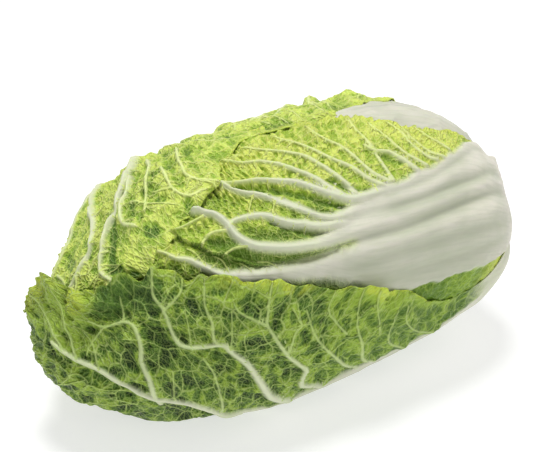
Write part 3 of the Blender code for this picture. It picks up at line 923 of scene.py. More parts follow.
def twigs(leaf, lines, seed, spacing=9.0, length=8.0, width=0.7, height=0.7, lean=0.55,
          skip=0.25, first=1):
    """Short side veins that leave the given lines in turn on both sides."""
    rng = np.random.default_rng(seed)
    made = []
    for points, w0, w1, h0, h1 in lines:
        c = leaf.curve(points, 1.0)
        q = np.array(points, float)
        # places along the line, in (u, degrees)
        mm = np.concatenate([[0], np.cumsum(np.linalg.norm(np.diff(
            head_frame(q[:, 0], np.radians(q[:, 1]))[0] * 1000, axis=0), axis=1))])
        at = spacing * rng.uniform(0.3, 0.9)
        side = rng.choice([-1, 1])
        while at < mm[-1] - 1:
            if rng.random() > skip:
                u0, a0 = np.interp(at, mm, q[:, 0]), np.interp(at, mm, q[:, 1])
                u1, a1 = np.interp(at + 1.5, mm, q[:, 0]), np.interp(at + 1.5, mm, q[:, 1])
                x, _, _, r = head_at(np.array([u0]))
                round_mm = float(r[0]) * 1000 * math.pi / 180
                du_mm = LENGTH * 1000 * math.pi / 2 * math.sin(math.pi * u0)
                d = np.array([(u1 - u0) * du_mm, (a1 - a0) * round_mm])
                d /= np.linalg.norm(d) + 1e-9
                n = np.array([-d[1], d[0]]) * side
                long = length * rng.uniform(0.55, 1.25)
                pts = [(u0, a0)]
                for k in (0.5, 1.0):
                    o = n * long * k + d * long * k * lean * (0.6 + 0.6 * k) + rng.normal(0, 0.5, 2)
                    pts.append((u0 + o[0] / du_mm, a0 + o[1] / round_mm))
                made.append((pts, width, width * 0.6, height, height * 0.4))
            side = -side
            at += spacing * rng.uniform(0.55, 1.3)
    return made


def ruffle(leaf, sides, seed):
    """Curls and frills of the margins.  sides: which margin, how far it curls
    out, how strong the frill is and how much the outline wavers, in mm."""
    for side, curl, frill, waver in sides:
        e, along = {"left": (leaf.left, leaf.xm), "right": (leaf.right, leaf.xm),
                    "tip": (leaf.tip, leaf.y + 500)}[side]
        s = {"left": 1, "right": 2, "tip": 3}[side] * 31 + seed
        big = line_noise(along, 21.0, s)
        small = line_noise(along + 1.5 * noise(leaf.bare, 6.0, s), 8.5, s + 5)
        tiny = line_noise(along + 1.0 * noise(leaf.bare, 4.0, s + 1), 4.2, s + 9)
        leaf.height += curl * np.exp(-e / 4.5) * (1 + 0.6 * big)
        leaf.height += frill * (0.7 * big * np.exp(-e / 10) + 1.0 * small * np.exp(-e / 6.0)
                                + 0.55 * tiny * np.exp(-e / 3.5))
        if side != "tip":
            sign = -1 if side == "left" else 1
            leaf.slide += sign * waver * (0.9 * big + 0.9 * small + 0.6 * tiny) * np.exp(-e / 6)


def lobe(leaf, u, angle, size, out, shift, side=1):
    """A lobe or a notch of the margin: pushed out, and along the head."""
    k = leaf.spot(u, angle, size)
    leaf.height += out * k
    leaf.slide += side * shift * k


def ridged(p, size, seed, octaves=3):
    """Crumple: sharp crests between rounded hollows, about -1..1."""
    out, amp, total = 0, 1.0, 0
    for o in range(octaves if 8 < size < 10 else 2):
        out = out + amp * (1 - 2.4 * np.abs(noise(p, size / 1.9 ** o, seed + 13 * o)))
        total += amp
        amp *= 0.55
    return out / total


def common(leaf, seed, rib, sink, net_size, net_depth, swell_size, swell_mm, crumple_size,
           crumple_mm, ladder=0.0, ladder_size=3.0, stretch_x=1.0, stretch_y=1.0, calm=0.0,
           lean=None):
    """Relief of blade and rib, and the vertex data that the material reads.
    calm: where the blade is smooth.  lean: the pleats run across the leaf and
    lean by this; without it they follow each vein."""
    flat = np.clip(rib, 0, 1)
    blade = 1 - flat
    p = leaf.bare
    wx = leaf.x + 2.4 * noise(p, 11.0, seed + 1)
    wy = leaf.y + 2.4 * noise(p, 11.0, seed + 2)
    e1, pick = cells(wx * stretch_x, wy * stretch_y, net_size, seed)
    e1 = e1 * net_size
    pillow = 1 - np.exp(-(e1 / (0.26 * net_size)) ** 2)
    near = np.maximum(np.exp(-(leaf.dist / 2.2) ** 2), step(leaf.rel, 2.1, 1.2))
    dip = 1 - np.exp(-(leaf.dist / 4.0) ** 2)
    lump = fbm(p, swell_size, seed + 11, 3, 0.55)
    still = 1 - calm
    pillow = pillow * still
    crumple = ridged(p, crumple_size, seed + 29) * still
    phase = leaf.arc if lean is None else leaf.x + lean * leaf.y
    rungs = np.cos(2 * math.pi * (phase + 1.6 * noise(p, 5.0, seed + 71)) / ladder_size) * still
    rungs = rungs * np.clip(0.65 + 0.6 * noise(p, 6.0, seed + 73), 0, 1.2)
    reach = np.exp(-(leaf.dist / 7.0) ** 2) * (1 - near)
    h = (leaf.ridge * (1 - 0.35 * flat)
         + blade * (net_depth * pillow * (2 * (pick > 0.42) - 1.1) * (1 - near)
                    - sink * dip
                    + crumple_mm * crumple * (1 - 0.8 * near)
                    + ladder * rungs * reach)
         + swell_mm * lump * (0.15 + 0.85 * blade))
    leaf.height += (h + 0.45 * sink) * leaf.open
    leaf.data["leaf_xy"] = np.stack([leaf.x, leaf.y, np.zeros_like(leaf.x)], -1)
    leaf.data["vein_signed"] = np.clip(leaf.signed, -4, 4)
    leaf.data["vein_far"] = np.clip(leaf.rel, 0, 6)
    leaf.data["pale"] = leaf.pale
    leaf.data["netted"] = 1 - 0.6 * calm + 0 * leaf.u
    leaf.data["rib"] = flat
    leaf.data["rim"] = np.exp(-leaf.edge / 3.2)
    leaf.data["painted_shade"] = np.zeros_like(leaf.u)
    # relief data for the colour: painted shade in the hollows of pillows, crumple, pleats and sunken blade, and
    # painted light on their crests
    deep = (0.30 * net_depth * pillow * (2 * (pick > 0.42) - 1.1) + 0.34 * crumple_mm * crumple
            + 0.24 * ladder * rungs * reach + 0.10 * lump - 0.12 * sink * (dip - 0.5))
    leaf.data["relief"] = np.clip(0.5 + deep, 0, 1)
    leaf.data["tone"] = np.full_like(leaf.u, 0.5)


OBJECTS = []


def keep(ob, node):
    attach(ob, "root")
    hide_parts(node)
    OBJECTS.append(ob)
    return ob


# ---- front outer leaf: dark, with pale branching veins
def front_outer():
    leaf = Leaf("front_outer_leaf", 292, 279,
                ((0, 0.7), (0.3, 1.0), (1, 1.15)),
                ((-1, 1.5), (-0.2, 1.3), (0.15, 1.0), (0.4, 0.35), (1, 0.3)))
    mid = [(0.930, 136), (0.86, 137), (0.78, 138), (0.70, 139), (0.62, 140), (0.55, 140),
           (0.48, 139), (0.43, 137), (0.396, 134), (0.375, 134), (0.341, 122), (0.314, 117),
           (0.271, 114), (0.224, 102), (0.186, 90), (0.147, 79), (0.119, 66), (0.100, 50)]
    main = [
        ([(0.281, 121), (0.268, 110), (0.263, 100), (0.251, 87), (0.251, 77), (0.246, 67), (0.233, 61), (0.202, 58), (0.182, 49)], 1.5, 0.7, 1.5, 0.9),
        ([(0.47, 139), (0.432, 125), (0.406, 109), (0.388, 98), (0.368, 90), (0.356, 85), (0.332, 84), (0.307, 82), (0.296, 77), (0.291, 68), (0.287, 61), (0.281, 55), (0.288, 46)], 2.2, 0.7, 2.2, 1.0),
        ([(0.52, 140), (0.473, 125), (0.470, 113), (0.456, 106), (0.440, 99), (0.426, 91), (0.412, 82), (0.412, 78), (0.418, 69)], 1.8, 0.7, 1.9, 0.9),
        ([(0.57, 140), (0.531, 122), (0.501, 107), (0.479, 97), (0.468, 89), (0.461, 82)], 1.3, 0.65, 1.5, 0.7),
        ([(0.60, 140), (0.556, 123), (0.540, 107), (0.530, 97), (0.529, 88), (0.530, 83)], 1.2, 0.6, 1.4, 0.6),
        ([(0.65, 138), (0.60, 122), (0.583, 113), (0.581, 106), (0.586, 98)], 1.0, 0.6, 1.1, 0.5),
        ([(0.70, 134), (0.655, 124), (0.627, 116), (0.605, 106), (0.602, 99)], 0.9, 0.6, 0.9, 0.5),
    ]
    side = [
        ([(0.232, 61), (0.237, 48)], 0.8, 0.6, 0.9, 0.5),
        ([(0.202, 58), (0.174, 67), (0.165, 75)], 0.8, 0.6, 0.8, 0.4),
        ([(0.356, 85), (0.346, 82), (0.345, 74), (0.340, 66), (0.343, 60)], 1.0, 0.65, 1.2, 0.6),
        ([(0.290, 63), (0.313, 58), (0.322, 51)], 0.85, 0.6, 0.9, 0.5),
        ([(0.412, 82), (0.394, 77), (0.380, 73), (0.374, 69)], 0.85, 0.6, 0.9, 0.5),
        ([(0.437, 97), (0.445, 88), (0.453, 86), (0.444, 79)], 0.8, 0.6, 0.8, 0.5),
        ([(0.515, 98), (0.500, 91), (0.490, 85), (0.493, 79)], 0.8, 0.6, 0.8, 0.5),
        ([(0.565, 106), (0.561, 100), (0.553, 92), (0.550, 87)], 0.7, 0.6, 0.7, 0.4),
        ([(0.365, 128), (0.361, 118), (0.347, 101), (0.341, 96), (0.331, 90)], 1.0, 0.65, 1.0, 0.5),
        ([(0.296, 113), (0.293, 103), (0.291, 94)], 0.7, 0.55, 0.7, 0.4),
        ([(0.316, 84), (0.316, 75), (0.315, 67)], 0.7, 0.55, 0.7, 0.4),
        ([(0.365, 88), (0.368, 80), (0.370, 72)], 0.7, 0.55, 0.7, 0.4),
        ([(0.097, 141), (0.112, 118), (0.127, 97), (0.107, 87)], 0.5, 0.45, 0.8, 0.4),
        ([(0.127, 97), (0.148, 94), (0.166, 105), (0.139, 130)], 0.5, 0.45, 0.8, 0.4),
        ([(0.166, 105), (0.197, 108), (0.231, 109)], 0.5, 0.45, 0.8, 0.4),
        ([(0.206, 118), (0.246, 123), (0.288, 132)], 0.5, 0.45, 0.8, 0.4),
        ([(0.147, 79), (0.140, 55), (0.150, 35), (0.158, 20)], 0.9, 0.6, 1.0, 0.5),
        ([(0.119, 66), (0.112, 30), (0.118, 0), (0.122, -20)], 0.9, 0.6, 1.0, 0.5),
        ([(0.186, 90), (0.178, 70), (0.166, 55)], 0.8, 0.6, 0.8, 0.4),
    ]
    hidden = []
    for t, climb in ((0.22, 0.10), (0.34, 0.10), (0.45, 0.10), (0.55, 0.10), (0.66, 0.09), (0.76, 0.08)):
        far = t > 0.5
        hidden.append(([leaf.place_tv(min(0.98, t + climb * q), q * 0.93)
                        for q in ((0.30, 0.5, 0.7, 0.85, 1.0) if far else (0.03, 0.25, 0.5, 0.75, 1.0))],
                       0.6 if far else 1.6, 0.5 if far else 0.7, 0.8 if far else 1.3, 0.4))
    lines = [(mid, 4.6, 1.2, 2.6, 1.8)] + main + side + hidden
    lines += twigs(leaf, main[:5] + side[2:4], 71, 9.5, 9.5, 0.5, 0.6, 0.5, 0.25)
    leaf.veins(lines)
    # the white rib, broad at the stem
    dm = leaf.line_field(mid, 40.0, 3.0)[0]
    half = np.interp(leaf.u, [0.40, 0.50, 0.62, 0.72, 0.80, 0.88, 0.94], [1.0, 3.2, 9.0, 17.0, 24.0, 28.0, 28.0])
    wob = 2.0 * fbm(leaf.bare, 9.0, 41, 2)
    rib = step(half - dm + wob * 0.5, -2.0, 2.5) * (leaf.u > 0.40)
    rib = np.maximum(rib, step(leaf.u, 0.72, 0.80) * step(leaf.deg, 78, 94))
    common(leaf, 101, rib, 2.1, 8.5, 1.2, 28.0, 2.4, 8.5, 1.3)
    near_base = step(leaf.u, 0.80, 0.62)
    wide_tip = step(leaf.u, 0.22, 0.12)
    ruffle(leaf, (("left", 1.4 * near_base, 2.8 * near_base, 3.4 * near_base),
                  ("right", 0.0, 0.5, 1.0), ("tip", 0.6, 1.2, 0)), 5)
    leaf.drape = np.maximum(leaf.drape, np.exp(-(leaf.left / 12) ** 2) * step(leaf.u, 0.50, 0.64) * leaf.open)
    # the tip flares away from the head, with a small curl beside it
    leaf.slide -= 4.0 * np.exp(-leaf.left / 12.0) * step(leaf.u, 0.36, 0.42) * step(leaf.u, 0.66, 0.58)
    flare = leaf.spot(0.140, -12, 23)
    leaf.height += 8.5 * np.exp(-leaf.left / 12.0) * flare * (1 + 0.30 * line_noise(leaf.xm, 7.0, 81))
    leaf.slide -= 3.0 * np.exp(-leaf.left / 14.0) * flare
    leaf.height -= 1.3 * np.exp(-(leaf.left / 10) ** 2) * step(leaf.u, 0.60, 0.70)
    leaf.height -= 1.6 * np.exp(-(leaf.left / 7) ** 2) * step(leaf.u, 0.64, 0.72)
    pleats = step(leaf.left, 18, 1) * leaf.spot(0.145, -5, 26)
    leaf.height += pleats * (1.9 * line_noise(leaf.xm + 2 * noise(leaf.bare, 7.0, 82), 6.5, 83)
                             + 0.9 * line_noise(leaf.xm + noise(leaf.bare, 5.0, 85), 3.4, 84))
    for u, a, size, out, shift in ((0.159, 14, 7, 5.0, -4.0), (0.166, 27, 4, -0.5, 2.0), (0.143, -9, 4.5, -0.5, 2.5),
                                   (0.120, -34, 5, 1.0, -1.0)):
        lobe(leaf, u, a, size, out, shift)
    # a lobe of the margin curled over outwards, with a hollow above it
    curl = leaf.spot(0.178, 35, 6.0, 6)
    leaf.height += 4.4 * curl - 2.4 * leaf.spot(0.163, 26, 4.0) - 1.6 * leaf.spot(0.186, 47, 4.0)
    for u, a, size, out, shift in ((0.21, 44, 6, 1.5, 2), (0.245, 37, 6, 1.2, -3), (0.285, 45, 6, -0.5, 1),
                                   (0.36, 59, 7, 1.6, -2.4), (0.40, 62, 5, 0.5, 2), (0.435, 66, 7, 2.0, -3),
                                   (0.49, 78, 6, 1.2, 1.6), (0.54, 83, 6, 2.0, -2.5), (0.60, 95, 6, 1.6, -3.0), (0.66, 104, 6, 1.0, -3.5), (0.72, 108, 6, 0.6, -3.0)):
        lobe(leaf, u, a, size, out, shift)
    tone = 0.48 + 0.16 * fbm(leaf.bare, 40.0, 77, 2)
    tone += 0.30 * leaf.spot(0.10, 0, 42) + 0.12 * leaf.spot(0.56, 100, 40)
    smooth = np.clip(leaf.spot(0.225, 46, 11, 3) + leaf.spot(0.272, 52, 10, 3), 0, 1)
    tone += 0.26 * step(leaf.left, 11, 1) * near_base * (1 - smooth)
    tone -= 0.20 * leaf.spot(0.29, 90, 26) + 0.26 * smooth
    tone += 0.04 * step(leaf.u, 0.44, 0.58) * step(leaf.deg, 150, 120) + 0.40 * curl + 0.16 * leaf.spot(0.150, 28, 16)
    tone += 0.10 * step(leaf.u, 0.44, 0.58) * fbm(leaf.bare, 14.0, 78, 2)
    tone += 0.20 * flare * np.exp(-leaf.left / 14)
    # painted shade: the lower left, towards the underside, darker
    tone -= 0.12 * step(leaf.deg, 112, 135) * step(leaf.u, 0.45, 0.35)
    leaf.data["tone"] = np.clip(tone, 0, 1)
    leaf.data["relief"] = leaf.data["relief"] * (1 - 0.75 * smooth) + 0.36 * smooth
    leaf.data["relief"] = 0.5 + (leaf.data["relief"] - 0.5) * (1 - 0.55 * step(leaf.u, 0.44, 0.58))
    leaf.data["netted"] = (1 - 0.75 * smooth) * (1 - 0.50 * step(leaf.u, 0.42, 0.56))
    ragged = 1.6 * noise(leaf.bare, 7.0, 17) + 1.0 * noise(leaf.bare, 3.0, 18)
    bands = np.clip(0.62 + 0.8 * line_noise(leaf.xm, 13.0, 95) + 0.5 * leaf.spot(0.37, 62, 16), 0.15, 1)
    rim = np.exp(-np.clip(leaf.left + ragged * 1.8 - 0.5, 0, 99) / (2.6 + 6.0 * wide_tip))
    leaf.data["rim"] = np.clip(rim * near_base * np.maximum(bands, wide_tip) * (1 - 0.9 * smooth) + 0.55 * curl, 0, 1)
    keep(leaf.finish(GREEN_DARK), leaf.name)


# ---- main front leaf: broad white rib that fans out into its veins
def main_front():
    leaf = Leaf("main_front_leaf", 292, 279,
                ((0, 0.75), (0.35, 0.85), (0.6, 1.2), (1, 1.2)),
                ((-1, 1.25), (0.4, 1.1), (0.7, 0.9), (1, 0.6)))
    big = [
        # lowest branch of the white rib, and the thick vein above it
        ([(0.303, 37), (0.310, 39), (0.321, 43), (0.336, 46), (0.354, 52), (0.368, 56), (0.400, 60), (0.440, 63), (0.474, 65), (0.523, 66), (0.60, 68)], 0.9, 6.0, 1.5, 2.4),
        ([(0.362, 27), (0.368, 28), (0.375, 30), (0.382, 32), (0.390, 37), (0.398, 44), (0.412, 49), (0.431, 52), (0.458, 55), (0.493, 57), (0.544, 57.5), (0.598, 58)], 1.8, 3.2, 3.2, 2.6),
        ([(0.392, 40), (0.398, 38), (0.416, 38), (0.437, 40), (0.456, 45), (0.477, 48), (0.498, 51), (0.547, 54)], 1.3, 2.8, 2.2, 1.8),
        ([(0.398, 15), (0.408, 21), (0.422, 27), (0.440, 31), (0.463, 37), (0.485, 43), (0.504, 48), (0.525, 50), (0.57, 50)], 1.2, 2.8, 2.6, 2.2),
        ([(0.405, 19), (0.413, 21), (0.428, 23), (0.448, 25), (0.468, 28), (0.487, 31), (0.505, 36), (0.523, 41), (0.543, 45), (0.567, 46), (0.60, 46)], 0.9, 2.8, 2.4, 2.2),
        ([(0.425, 9), (0.440, 14), (0.460, 17), (0.478, 21), (0.494, 26), (0.511, 32), (0.523, 38), (0.536, 43)], 0.8, 1.7, 1.8, 1.7),
        ([(0.455, 6), (0.475, 12), (0.496, 17), (0.513, 22), (0.527, 29), (0.540, 36), (0.552, 43)], 0.75, 1.5, 1.6, 1.6),
        ([(0.495, 6), (0.512, 14), (0.527, 21), (0.541, 27), (0.559, 33), (0.575, 40), (0.590, 44)], 0.75, 1.4, 1.5, 1.5),
        ([(0.535, 8), (0.545, 17), (0.561, 24), (0.573, 32), (0.583, 38), (0.599, 43)], 0.7, 1.3, 1.4, 1.4),
        ([(0.587, 13), (0.592, 20), (0.598, 28), (0.600, 35), (0.606, 43)], 0.7, 1.2, 1.3, 1.2),
        ([(0.590, 26), (0.597, 29), (0.616, 31), (0.626, 34), (0.634, 37), (0.646, 42)], 0.9, 1.5, 1.4, 1.3),
        ([(0.612, 17), (0.622, 23), (0.632, 30), (0.643, 35), (0.662, 40)], 0.7, 1.2, 1.2, 1.1),
        ([(0.638, 18), (0.648, 22), (0.655, 30), (0.671, 36), (0.684, 38)], 0.7, 1.2, 1.1, 1.0),
        ([(0.655, 20), (0.661, 27), (0.679, 34), (0.698, 37)], 0.7, 1.1, 1.0, 0.9),
        ([(0.675, 21), (0.690, 27), (0.715, 33)], 0.6, 1.0, 0.9, 0.7),
    ]
    side = [
        ([(0.368, 31), (0.353, 31), (0.334, 31.5)], 0.8, 0.8, 1.6, 1.8),
        ([(0.356, 42), (0.363, 40), (0.373, 39), (0.386, 40)], 0.8, 0.9, 1.6, 1.6),
        ([(0.378, 49), (0.390, 48), (0.405, 49)], 0.7, 0.8, 0.9, 0.9),
        ([(0.353, 51), (0.345, 44), (0.337, 41)], 0.6, 0.5, 0.7, 0.4),
        ([(0.377, 56), (0.374, 51), (0.366, 48)], 0.6, 0.5, 0.7, 0.4),
        ([(0.405, 60), (0.402, 57), (0.394, 54)], 0.6, 0.5, 0.7, 0.4),
        ([(0.44, 63), (0.43, 58), (0.415, 56)], 0.7, 0.5, 0.8, 0.4),
        ([(0.432, 31), (0.424, 35), (0.421, 38)], 0.6, 0.5, 0.7, 0.4),
        ([(0.455, 36), (0.447, 40), (0.444, 43)], 0.6, 0.5, 0.7, 0.4),
        ([(0.415, 5), (0.430, 8), (0.445, 8)], 0.6, 0.5, 0.7, 0.4),
    ]
    lines = big + side
    lines += twigs(leaf, big[5:14], 31, 4.5, 3.6, 0.4, 0.7, 0.1, 0.1)
    lines += twigs(leaf, big[2:5], 32, 5.0, 4.6, 0.42, 0.7, 0.15, 0.2)
    lines += twigs(leaf, big[:1], 33, 4.0, 5.5, 0.45, 0.5, 0.3, 0.2)
    leaf.veins(lines)
    petiole = [(0.935, 30), (0.86, 22), (0.80, 21), (0.767, 25), (0.72, 34), (0.696, 38), (0.645, 42.5), (0.605, 44),
               (0.571, 45.5), (0.549, 46.5), (0.530, 48.5), (0.52, 51.5), (0.51, 53.5), (0.49, 55.5), (0.50, 58),
               (0.53, 60.5), (0.53, 62.5), (0.50, 63), (0.46, 61.5), (0.43, 60.5), (0.41, 59.5), (0.385, 57.5),
               (0.385, 60), (0.41, 63.5), (0.44, 67), (0.48, 71.5), (0.52, 78), (0.558, 87), (0.603, 90),
               (0.672, 92), (0.751, 93), (0.80, 92), (0.851, 89), (0.90, 86), (0.935, 90)]
    inside = leaf.region(petiole)
    soft = 1 + 1.6 * step(leaf.u, 0.64, 0.54)
    rib = step((inside + 1.6 * fbm(leaf.bare, 7.0, 61, 2)) / soft, -1.8, 2.2)
    # soft ribs along the white part, and the grooves between them, which also get painted shade
    wave, painted_shade = 0, 0
    for places, width, tall in (
            ([(0.900, 40), (0.816, 41), (0.750, 48), (0.702, 51), (0.644, 54), (0.597, 54), (0.568, 53), (0.543, 52)], 3.2, -2.0),
            ([(0.900, 52), (0.807, 54), (0.736, 58), (0.672, 61), (0.604, 63), (0.547, 61), (0.507, 61)], 3.4, -2.1),
            ([(0.900, 70), (0.763, 72), (0.683, 72), (0.614, 72), (0.541, 71), (0.50, 70)], 4.2, -1.3),
            ([(0.860, 80), (0.746, 82), (0.671, 82), (0.611, 81), (0.566, 81)], 3.8, -0.9),
            ([(0.850, 24), (0.788, 28), (0.731, 38), (0.662, 46), (0.610, 48), (0.567, 48)], 2.4, -1.0),
            ([(0.90, 36), (0.83, 34), (0.76, 41), (0.70, 46), (0.65, 49.5)], 3.4, 1.0),
            ([(0.90, 46), (0.80, 48), (0.72, 54), (0.65, 57), (0.59, 58)], 3.6, 1.2),
            ([(0.90, 61), (0.80, 63), (0.72, 66), (0.65, 67), (0.58, 66)], 4.0, 1.2)):
        d, share, _, _ = leaf.line_field(places, 16.0, 3.0)
        k = np.exp(-(d / width) ** 2) * step(share, 0.0, 0.16) * (0.35 + 0.65 * step(share, 1.0, 0.75))
        wave = wave + tall * k
        if tall < 0:
            painted_shade = np.maximum(painted_shade, k * min(1.0, -tall / 1.8))
    wave = wave * (1 - 0.75 * step(leaf.u, 0.72, 0.87))
    leaf.height += wave * step(inside, -4, 3)
    # deep furrows below the thick veins: smooth, and darkened with painted shadow
    furrow, dark = np.zeros_like(leaf.u), np.zeros_like(leaf.u)
    for places, width, tall in (
            ([(0.384, 49), (0.414, 56), (0.450, 59.5), (0.480, 61.5), (0.510, 62)], 2.4, 2.8),
            ([(0.441, 43.5), (0.461, 48), (0.482, 52), (0.503, 54.5)], 1.9, 2.2),
            ([(0.452, 33), (0.468, 38), (0.500, 45), (0.520, 48)], 1.9, 2.2),
            ([(0.417, 23.5), (0.448, 29), (0.487, 36.5), (0.518, 44), (0.535, 48)], 2.2, 2.2),
            ([(0.527, 35), (0.541, 39.5), (0.560, 43), (0.572, 44)], 1.8, 1.6),
            ([(0.361, 40), (0.380, 46), (0.403, 52)], 2.4, 1.8),
            ([(0.600, 31), (0.613, 33), (0.628, 37)], 2.6, 1.2)):
        d, share, _, _ = leaf.line_field(places, 12.0)
        k = np.exp(-(d / (width * (0.55 + 1.6 * share * (1 - share)))) ** 2)
        furrow = np.maximum(furrow, tall * k)
        dark = np.maximum(dark, k)
    upper = step(leaf.deg, 40, 28)
    calm = np.clip(np.maximum(0.9 * dark, 0.45 * step(leaf.deg, 30, 42)), 0, 1)
    common(leaf, 202, rib, 2.6, 5.0, 0.6, 26.0, 1.2, 7.0, 0.5, 1.1 + 0.9 * upper, 4.3, 1.3, 0.8, calm, 0.25)
    # painted shade on the rib: in the grooves, over its part towards the tip and on its lower side
    leaf.data["painted_shade"] = np.clip(painted_shade * 0.8 + 0.38 * step(leaf.u, 0.86, 0.68)
                                  + 0.50 * step(leaf.deg, 62, 84) * step(leaf.u, 0.90, 0.72), 0, 1)
    leaf.data["relief"] = leaf.data["relief"] * 1.0
    # the upper part of the blade folds down over the lowest branch
    fold = [(0.326, 30), (0.330, 32), (0.334, 35), (0.343, 39), (0.354, 42), (0.362, 46), (0.378, 49.5), (0.398, 54), (0.415, 57.5), (0.45, 60.5)]
    d, share, turn, _ = leaf.line_field(fold, 14.0)
    above = turn if leaf_side(leaf, fold, (0.40, 40)) > 0 else -turn
    d = np.where(d > 100, 14.0, d)
    rise = 3.0 * step(share, 1.0, 0.55)
    leaf.height += leaf.open * rise * np.where(above > 0, np.exp(-d / 6.0), -0.55 * np.exp(-d / 3.5))
    # painted shadow below the fold
    shadow = np.where(above > 0, 0, np.exp(-d / 2.2)) * step(share, 1.0, 0.8)
    # smooth sunken pocket beside the end of the thick vein, under a rolled lip, darkened with painted shade
    pocket = leaf.spot(0.340, 26.5, 7.0)
    leaf.height -= 2.0 * pocket * leaf.open
    d, _, _, _ = leaf.line_field([(0.322, 24), (0.334, 21.5), (0.350, 23.5), (0.366, 27)], 14.0)
    leaf.height += 2.4 * np.exp(-(d / 2.4) ** 2) * leaf.open
    lip = np.exp(-(d / 2.6) ** 2)
    leaf.height -= furrow * (1 - rib) * leaf.open
    shadow = np.maximum(shadow, dark)
    wing = step(leaf.deg, 82, 96) * step(leaf.u, 0.52, 0.60)
    leaf.height += wing * (1.6 + 1.3 * ridged(leaf.bare, 9.0, 63)) * leaf.open
    leaf.slide -= 6.0 * np.exp(-leaf.left / 10.0) * step(leaf.u, 0.43, 0.49) * step(leaf.u, 0.67, 0.60)
    top_edge = np.exp(-leaf.left / 9.0)
    leaf.height += top_edge * 0.9 * line_noise(leaf.xm, 5.0, 66) * step(leaf.u, 0.42, 0.48)
    ruffle(leaf, (("left", 1.2, 1.7, 2.4), ("right", 0.6, 1.4, 1.6), ("tip", 1.5, 1.5, 0)), 15)
    tone = 0.53 + 0.16 * fbm(leaf.bare, 22.0, 88, 2)
    tone += 0.16 * step(leaf.deg, 34, 16)
    # painted shade: the blade below the thick veins, lower on the head, darker
    tone -= 0.26 * step(leaf.deg, 38, 50) * step(leaf.u, 0.60, 0.50)
    # the wing darker: partly its own olive colour, partly painted shade along the petiole's lower side
    tone -= 0.30 * wing
    # painted shadow under the fold and in the furrows, painted shade in the pocket
    tone -= 0.50 * shadow + 0.25 * pocket
    # more painted shade on the lower blade
    tone -= 0.16 * step(leaf.deg, 36, 46) * step(leaf.u, 0.56, 0.46)
    tone += 0.28 * leaf.spot(0.72, 24, 18) + 0.20 * leaf.spot(0.35, 57, 10) - 0.05 * lip
    # more painted shade on the lower blade and at the head of the furrow
    tone -= 0.14 * step(leaf.deg, 44, 54) * step(leaf.u, 0.52, 0.46) + 0.14 * leaf.spot(0.385, 50, 9)
    tone += 0.08 * step(leaf.deg, 40, 25) * step(leaf.u, 0.44, 0.50)
    leaf.data["tone"] = np.clip(tone, -0.25, 1)
    leaf.data["netted"] = (1 - 0.5 * np.maximum(pocket, shadow)) * (1 - 0.85 * wing)
    leaf.data["rim"] = np.clip(np.exp(-leaf.left / 2.4) + 0.8 * leaf.spot(0.355, 58, 7)
                               + 0.75 * wing * step(leaf.u, 0.68, 0.82), 0, 1)
    keep(leaf.finish(GREEN_BRIGHT), leaf.name)


def leaf_side(leaf, points, place):
    """Which side of a line a place of the head lies on."""
    c = leaf.curve(points, 1.3)
    p, n = head_frame(np.array([place[0]]), np.radians(np.array([float(place[1])])))
    p = p[0] * 1000
    i = int(np.argmin(np.linalg.norm(c[:-1] - p, axis=1)))
    return float(np.dot(np.cross(c[i + 1] - c[i], p - c[i]), n[0]))


